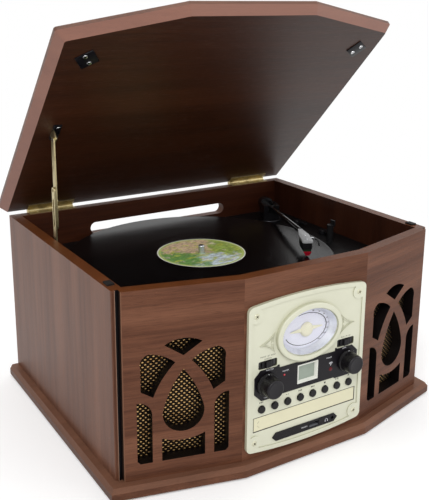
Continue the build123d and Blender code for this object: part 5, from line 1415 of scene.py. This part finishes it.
# ---------------------------------------------------------------- CD drawer and port strip
class MUSIC_OT_drawer(bpy.types.Operator):
    """Cream front and black tray of the CD drawer, with finger marks at its left end"""

    bl_idname = "music_centre.drawer"
    bl_label = "CD drawer"

    front_depth, marks_inset = 3.0, 7.5

    def execute(self, context):
        low, high = node_box("cd_tray")
        drawer = skin(
            "drawer_moulding", shade(226, 221, 188), 0.34, 0.1, 2.2, 0.02,
            Specular_IOR_Level=0.5, Coat_Weight=0.3, Coat_Roughness=0.15,
        )
        tree = drawer.tree
        tray = skin_of(tree, shade(32, 31, 33), 0.42, 0.3, 1.4, drawer.where)
        back = low.y + self.front_depth
        drawer.over(step(tree, axes(tree, drawer.where)[1], back - 0.1, back + 0.1), tray["Color"])
        dress(drawer.material, "cd_tray")
        spot = onto_front(low.x + self.marks_inset, low.y + 0.1, (low.z + high.z) / 2)
        marks = [(arc(3.4, 0.45, 0.3, start, 50), spot) for start in (110, 200)]
        grey = ink("finger_mark_grey", 176, 172, 146)
        new_piece("drawer_finger_marks", marks, "cd_tray", "cream", grey)
        return {"FINISHED"}


class MUSIC_OT_ports(bpy.types.Operator):
    """Black strip with the memory port and the headphone socket, and its white signs"""

    bl_idname = "music_centre.ports"
    bl_label = "Port strip"

    slot_x, slot_half_width, slot_y = 11.0, 6.0, -157.3
    headphone_x, word_x = 27.0, -1.5

    def execute(self, context):
        strip = skin("port_strip_black", chosen("black"), 0.3, 0.3, 1.6, 0.02)
        tree = strip.tree
        x, y, _ = axes(tree, strip.where)
        across = near(tree, x, self.slot_x, self.slot_half_width, 0.25)
        inside = times(tree, across, step(tree, y, self.slot_y, self.slot_y + 0.3))
        strip.over(times(tree, inside, 0.7), shade(150, 152, 158))
        dress(strip.material, "port_strip")
        low, high = node_box("port_strip")
        level = (low.z + high.z) / 2
        phones = onto_front(self.headphone_x, low.y - 0.02, level - 0.3)
        signs = [(arc(1.6, 0.4, 0.05, 0, 180, 16), phones)]
        signs += [(block((0.8, 1.6, 0.05), (x, -0.8, 0.025)), phones) for x in (-1.5, 1.5)]
        signs.append((lettering("MEMORY", 1.9), onto_front(self.word_x, low.y - 0.02, level)))
        white = ink("port_white", 216, 216, 220)
        new_piece("port_signs", signs, "cabinet", "black_gloss", white, smooth=False)
        return {"FINISHED"}


# ---------------------------------------------------------------- record deck
class MUSIC_OT_turntable(bpy.types.Operator):
    """Deck plate, platter, mat, motor and belt, and the grooved record with its label"""

    bl_idname = "music_centre.turntable"
    bl_label = "Record deck"

    hole, label_radius, groove_end, groove_start, record_radius = 3.75, 50.0, 62.0, 147.0, 150.8

    def execute(self, context):
        alloy = metal("platter_alloy", shade(206, 208, 212), shade(150, 152, 158), 0.28)
        steel = metal("pulley_steel", shade(200, 202, 206), shade(150, 152, 158), 0.2)
        dress(moulded("deck_black", shade(12, 11, 12), 0.42, 0.4, 2.2, 0.06), "deck_plate")
        dress(alloy, "platter")
        dress(moulded("mat_rubber", shade(22, 22, 22), 0.8, 0.4, 1.8, 0.08), "platter_mat")
        dress(steel, "motor_pulley")
        dress(moulded("belt_rubber", shade(16, 16, 16), 0.6, 0.4, 2.0, 0.05), "drive_belt")
        self.record()
        return {"FINISHED"}

    def record(self):
        """Pressed disc: a rounded rim, bands of grooves with gaps between, and a paper label."""
        low, high = (corner.z for corner in node_box("record"))
        face = high - 0.15
        hollow, groove, gap = low + 0.12, face - 0.14, face - 0.17
        label = self.label_radius
        profile = [
            (self.hole, low), (label, low), (60, hollow), (146, hollow), (149.6, low),
            (150.6, low + 0.3), (self.record_radius, low + 0.8), (150.5, face - 0.25),
            (149.4, face), (147.6, groove),
        ]
        bands = bpy.context.scene.music_centre_sizes.groove_bands
        width = (self.groove_start - self.groove_end) / bands
        for index in range(bands):
            outer = self.groove_start - width * index
            inner = outer - width
            profile += [(outer, groove), (inner + 1.2, groove)]
            profile += [(inner + 1.1, gap), (inner + 0.1, gap)]
        profile += [
            (60, face - 0.12), (53.5, face - 0.12), (52.8, face - 0.02), (51.2, face - 0.02),
            (label, face - 0.08), (label, high), (self.hole, high), (self.hole, low),
        ]
        work = turned(profile, 180)
        for side in work.faces:
            spot = side.calc_center_median()
            if spot.z > high - 0.02 and spot.xy.length < label:
                side.material_index = 1
        new_piece(
            "record_disc", [(work, moving(*SPINDLE))], "turntable", "vinyl", self.vinyl(),
            self.label(), stands_for=["record"], smooth=math.radians(5),
        )

    @staticmethod
    def vinyl():
        """Black vinyl whose sheen and relief change from groove to groove."""
        material, tree, shader = new_material("record_vinyl", Specular_IOR_Level=0.14)
        where = place(tree, SPINDLE)
        out = reach(tree, where)

        def rings_of(scale, detail):
            feeds = {"W": out, "Scale": scale, "Detail": detail}
            return put(tree, "ShaderNodeTexNoise", feeds, noise_dimensions="1D").outputs[0]

        fine, broad = rings_of(2.2, 3.0), rings_of(0.35, 2.0)
        dust = times(tree, noise(tree, where, (0.05, 0.05, 0.05), 3), 0.08)
        roughness = calc(tree, "ADD", calc(tree, "MULTIPLY_ADD", fine, 0.06, 0.14), dust)
        color = brighten(tree, shade(9, 8, 9), calc(tree, "MULTIPLY_ADD", broad, 0.9, 0.55))
        connect(tree, shader, color, roughness, fine, 0.015)
        return material

    @staticmethod
    def label():
        """Paper label: soft green, peach, yellow-green and pale blue fields inside a pale edge."""
        paper = skin(
            "record_label", shade(222, 216, 180), 0.45, 0.3, 2.5, 0.02, SPINDLE,
            Specular_IOR_Level=0.5,
        )
        tree, where = paper.tree, paper.where
        x, y, _ = axes(tree, where)
        out = reach(tree, where)

        def blot(stretch, detail, low, high, *share):
            return step(tree, noise(tree, where, stretch, detail, 0.6), low, high, *share)

        across = calc(tree, "SUBTRACT", times(tree, x, 0.85), times(tree, y, 0.53))
        along = calc(tree, "ADD", times(tree, x, 0.53), times(tree, y, 0.85))
        ripple = times(tree, noise(tree, where, (0.07, 0.1, 0.1), 4, 0.6, 1.0), 60.0)
        sway = times(tree, noise(tree, where, (0.04, 0.05, 0.04), 3, 0.6, 0.6), 60.0)
        low = step(tree, calc(tree, "ADD", along, ripple), 30.0, 20.0)
        right = step(tree, calc(tree, "ADD", across, sway), 26.0, 44.0)
        lower = mix(tree, right, shade(92, 150, 62), shade(206, 222, 232))
        upper = mix(tree, right, shade(216, 184, 152), shade(150, 176, 70))
        paper.over(0.9, mix(tree, low, upper, lower))
        paper.over(blot((0.06, 0.13, 0.13), 4, 0.52, 0.62, 0.0, 0.75), shade(196, 202, 84))
        paper.over(blot((0.12, 0.12, 0.12), 3, 0.55, 0.68, 0.0, 0.6), shade(232, 214, 198))
        paper.color = brighten(tree, paper.color, blot((0.2, 0.5, 0.5), 3, 0.3, 0.7, 0.62, 1.34))
        paper.over(step(tree, out, 45.6, 46.2, 0.0, 0.8), shade(196, 212, 120))
        paper.over(step(tree, out, 48.4, 48.9), shade(238, 238, 226))
        return paper.material


# ---------------------------------------------------------------- tonearm and levers
class MUSIC_OT_tonearm(bpy.types.Operator):
    """Tonearm, its base and rest, and the head with cartridge, finger lift and stylus"""

    bl_idname = "music_centre.tonearm"
    bl_label = "Tonearm"

    beam_start, beam_width, beam_depth, beam_low = 13.5, 5.0, 5.7, -2.5
    head_turn, head_top, head_half, head_end, neck, plate = 6.0, 2.4, 6.0, 48.0, 18.0, 2.6
    cartridge_top, cartridge_height, cartridge_y, foot_height = -0.2, 10.5, -34.0, 2.4
    plate_screws = (-27.0, -41.0)

    def execute(self, context):
        dress(metal("arm_base_dark", shade(58, 57, 60), shade(40, 40, 42), 0.3), "tonearm_base")
        dress(moulded("arm_housing_black", shade(16, 15, 17), 0.25, 0.3, 2.0, 0.02), "arm_housing")
        gloss = moulded(
            "arm_tube_black", shade(16, 15, 17), 0.14, 0.2, 2.0, 0.01, Specular_IOR_Level=0.5
        )
        dress(gloss, "arm_tube")
        dress(moulded("arm_rest_black", shade(24, 23, 24), 0.4, 0.3, 2.0, 0.03), "tonearm_rest")
        red = moulded("stylus_red", shade(172, 18, 40), 0.25, 0.2, 2.0, 0.01, Coat_Weight=0.4)
        dress(red, "stylus")
        arm = moving(*ARM_PIVOT) @ turning(-ARM_TURN, "Z") @ turning(-ARM_RISE, "X")
        self.beam(arm, gloss)
        tip = arm @ Vector((0, -ARM_LENGTH, 0))
        self.head(moving(*tip) @ turning(-ARM_TURN - self.head_turn, "Z"))
        return {"FINISHED"}

    def beam(self, arm, gloss):
        """Straight moulded beam over the arm's tube, from its housing to the head."""
        length = ARM_LENGTH - self.beam_start - 1.0
        centre = (0, -self.beam_start - length / 2, self.beam_low + self.beam_depth / 2)
        shape = block((self.beam_width, length, self.beam_depth), centre, 1.9, 4)
        new_piece("arm_beam", [(shape, arm)], "arm", "black_gloss", gloss)

    def head(self, spot):
        """Head plate with two screws, the ribbed cartridge and its foot, and the finger lift."""
        grey = moulded("head_grey", shade(160, 161, 162), 0.3, 0.15, 2.0, 0.02)
        black = moulded("cartridge_black", shade(24, 23, 25), 0.32, 0.3, 2.5, 0.02)
        green = moulded("cartridge_green", shade(20, 46, 30), 0.4, 0.3, 2.5, 0.02)
        bright = metal("finger_lift_bright", shade(222, 222, 226), shade(170, 170, 176), 0.15)
        half, neck, end, middle_y = self.head_half, -self.neck, -self.head_end, self.cartridge_y
        right = [
            (half - 1.5, end), (half, end + 1.5), (half, neck - 2), (half - 0.6, neck), (2.4, 0.4),
        ]
        outline = [(-x, y) for x, y in reversed(right)] + right
        plate = slab(outline, self.plate, 0.5)
        parts = [(plate, spot @ moving(0, 0, self.head_top - self.plate), 0)]
        for y in self.plate_screws:
            # The cross takes the black cartridge's material: painted shade in the bright screw's
            # recess.
            parts.append((cross_screw(1.4, 0.5, 3, 1), spot @ moving(0, y, self.head_top)))
        tall = self.cartridge_height - self.foot_height
        level = self.cartridge_top - tall / 2
        parts.append((block((10.4, 24.0, tall), (0, middle_y, level), 0.7, 3), spot, 1))
        for x in range(-4, 5, 2):
            parts.append((block((1.1, 0.6, tall - 1.8), (x, middle_y - 12.1, level), 0.2), spot, 1))
        foot_level = self.cartridge_top - tall - self.foot_height / 2 + 0.2
        foot = block((9.0, 22.6, self.foot_height + 0.4), (0, middle_y, foot_level), 0.3)
        parts.append((foot, spot, 2))
        bend = moving(half, middle_y + 1.5, self.head_top - 10.0) @ turning(90, "X")
        parts.append((arc(9.5, 1.0, 3.0, 0, 90, 16), spot @ bend, 3))
        new_piece(
            "headshell_and_cartridge", parts, "arm", "black_matt", grey, black, green, bright,
            stands_for=["headshell"],
        )


class MUSIC_OT_levers(bpy.types.Operator):
    """Finish of the cue and speed levers, and the white speed numbers beside them"""

    bl_idname = "music_centre.levers"
    bl_label = "Deck levers"

    # Each speed with its place along the deck from the lever's front end.
    speeds = (("78", 14.4), ("45", 8.8), ("33", 3.2))

    def execute(self, context):
        black = moulded("lever_black", shade(22, 21, 23), 0.3, 0.3, 2.2, 0.03)
        dress(black, "cue_lever", "speed_lever")
        deck_top = node_box("deck_plate")[1].z
        low, _ = node_box("speed_lever")
        parts = [
            (lettering(text, 2.6, 0.04), moving(low.x - 4.5, low.y + along, deck_top))
            for text, along in self.speeds
        ]
        white = ink("deck_white_ink", 190, 190, 194)
        new_piece("speed_numbers", parts, "cabinet", "black_matt", white, smooth=False)
        return {"FINISHED"}


# ---------------------------------------------------------------- back
class MUSIC_OT_rear(bpy.types.Operator):
    """Terminal plate at the back with its coloured phono rings and plain words"""

    bl_idname = "music_centre.rear"
    bl_label = "Back"

    left_x, right_x, ring_y, ring_z = 65.0, 83.0, 171.9, 60.0
    plate_y = 165.63
    # Text, x, z and height.
    words = (
        ("LINE OUT", 74.0, 70.5, 3.2),
        ("L", left_x, 51.0, 3.2),
        ("R", right_x, 51.0, 3.2),
        ("POWER", 119.0, 70.5, 2.8),
    )

    def execute(self, context):
        black = moulded("terminal_black", shade(26, 26, 27), 0.45, 0.3, 1.6, 0.04)
        dress(black, "rear_terminal_plate")
        rings = (
            ("left", self.left_x, shade(232, 232, 232)),
            ("right", self.right_x, shade(198, 34, 36)),
        )
        for name, x, tone in rings:
            ring = turned([(1.75, 0), (3.6, 0), (3.6, 0.5), (3.2, 0.8), (1.75, 0.8), (1.75, 0)], 32)
            spot = onto_back(x, self.ring_y, self.ring_z)
            coloured = moulded(f"phono_{name}", tone, 0.35)
            new_piece(f"phono_ring_{name}", [(ring, spot)], "cabinet", "black_matt", coloured)
        words = [
            (lettering(text, size), onto_back(x, self.plate_y + 0.02, z))
            for text, x, z, size in self.words
        ]
        white = ink("terminal_white_ink", 206, 206, 210)
        new_piece("terminal_words", words, "cabinet", "black_matt", white, smooth=False)
        return {"FINISHED"}


# ---------------------------------------------------------------- panel and running order
STEPS = (
    MUSIC_OT_stage,
    MUSIC_OT_cabinet,
    MUSIC_OT_lid,
    MUSIC_OT_stay,
    MUSIC_OT_grilles,
    MUSIC_OT_inside,
    MUSIC_OT_fascia,
    MUSIC_OT_dial,
    MUSIC_OT_band,
    MUSIC_OT_knobs,
    MUSIC_OT_switches,
    MUSIC_OT_drawer,
    MUSIC_OT_ports,
    MUSIC_OT_turntable,
    MUSIC_OT_tonearm,
    MUSIC_OT_levers,
    MUSIC_OT_rear,
)


class MUSIC_PT_panel(bpy.types.Panel):
    """Lists the steps that dress the music centre, with its sizes and colours"""

    bl_idname = "MUSIC_PT_panel"
    bl_label = "Music Centre"
    bl_space_type = "VIEW_3D"
    bl_region_type = "UI"
    bl_category = "Music Centre"

    def draw(self, context):
        layout = self.layout
        for group in (context.scene.music_centre_sizes, context.scene.music_centre_colours):
            box = layout.box()
            for field in group.bl_rna.properties:
                if field.identifier not in ("rna_type", "name"):
                    box.prop(group, field.identifier)
        for maker in STEPS:
            layout.operator(maker.bl_idname)


CLASSES = (MusicCentreColours, MusicCentreSizes, *STEPS, MUSIC_PT_panel)


def register():
    for item in CLASSES:
        bpy.utils.register_class(item)
    bpy.types.Scene.music_centre_colours = bpy.props.PointerProperty(type=MusicCentreColours)
    bpy.types.Scene.music_centre_sizes = bpy.props.PointerProperty(type=MusicCentreSizes)


def unregister():
    del bpy.types.Scene.music_centre_sizes
    del bpy.types.Scene.music_centre_colours
    for item in reversed(CLASSES):
        bpy.utils.unregister_class(item)


def main():
    register()
    for maker in STEPS:
        getattr(bpy.ops.music_centre, maker.bl_idname.split(".")[1])()


if __name__ == "__main__":
    main()
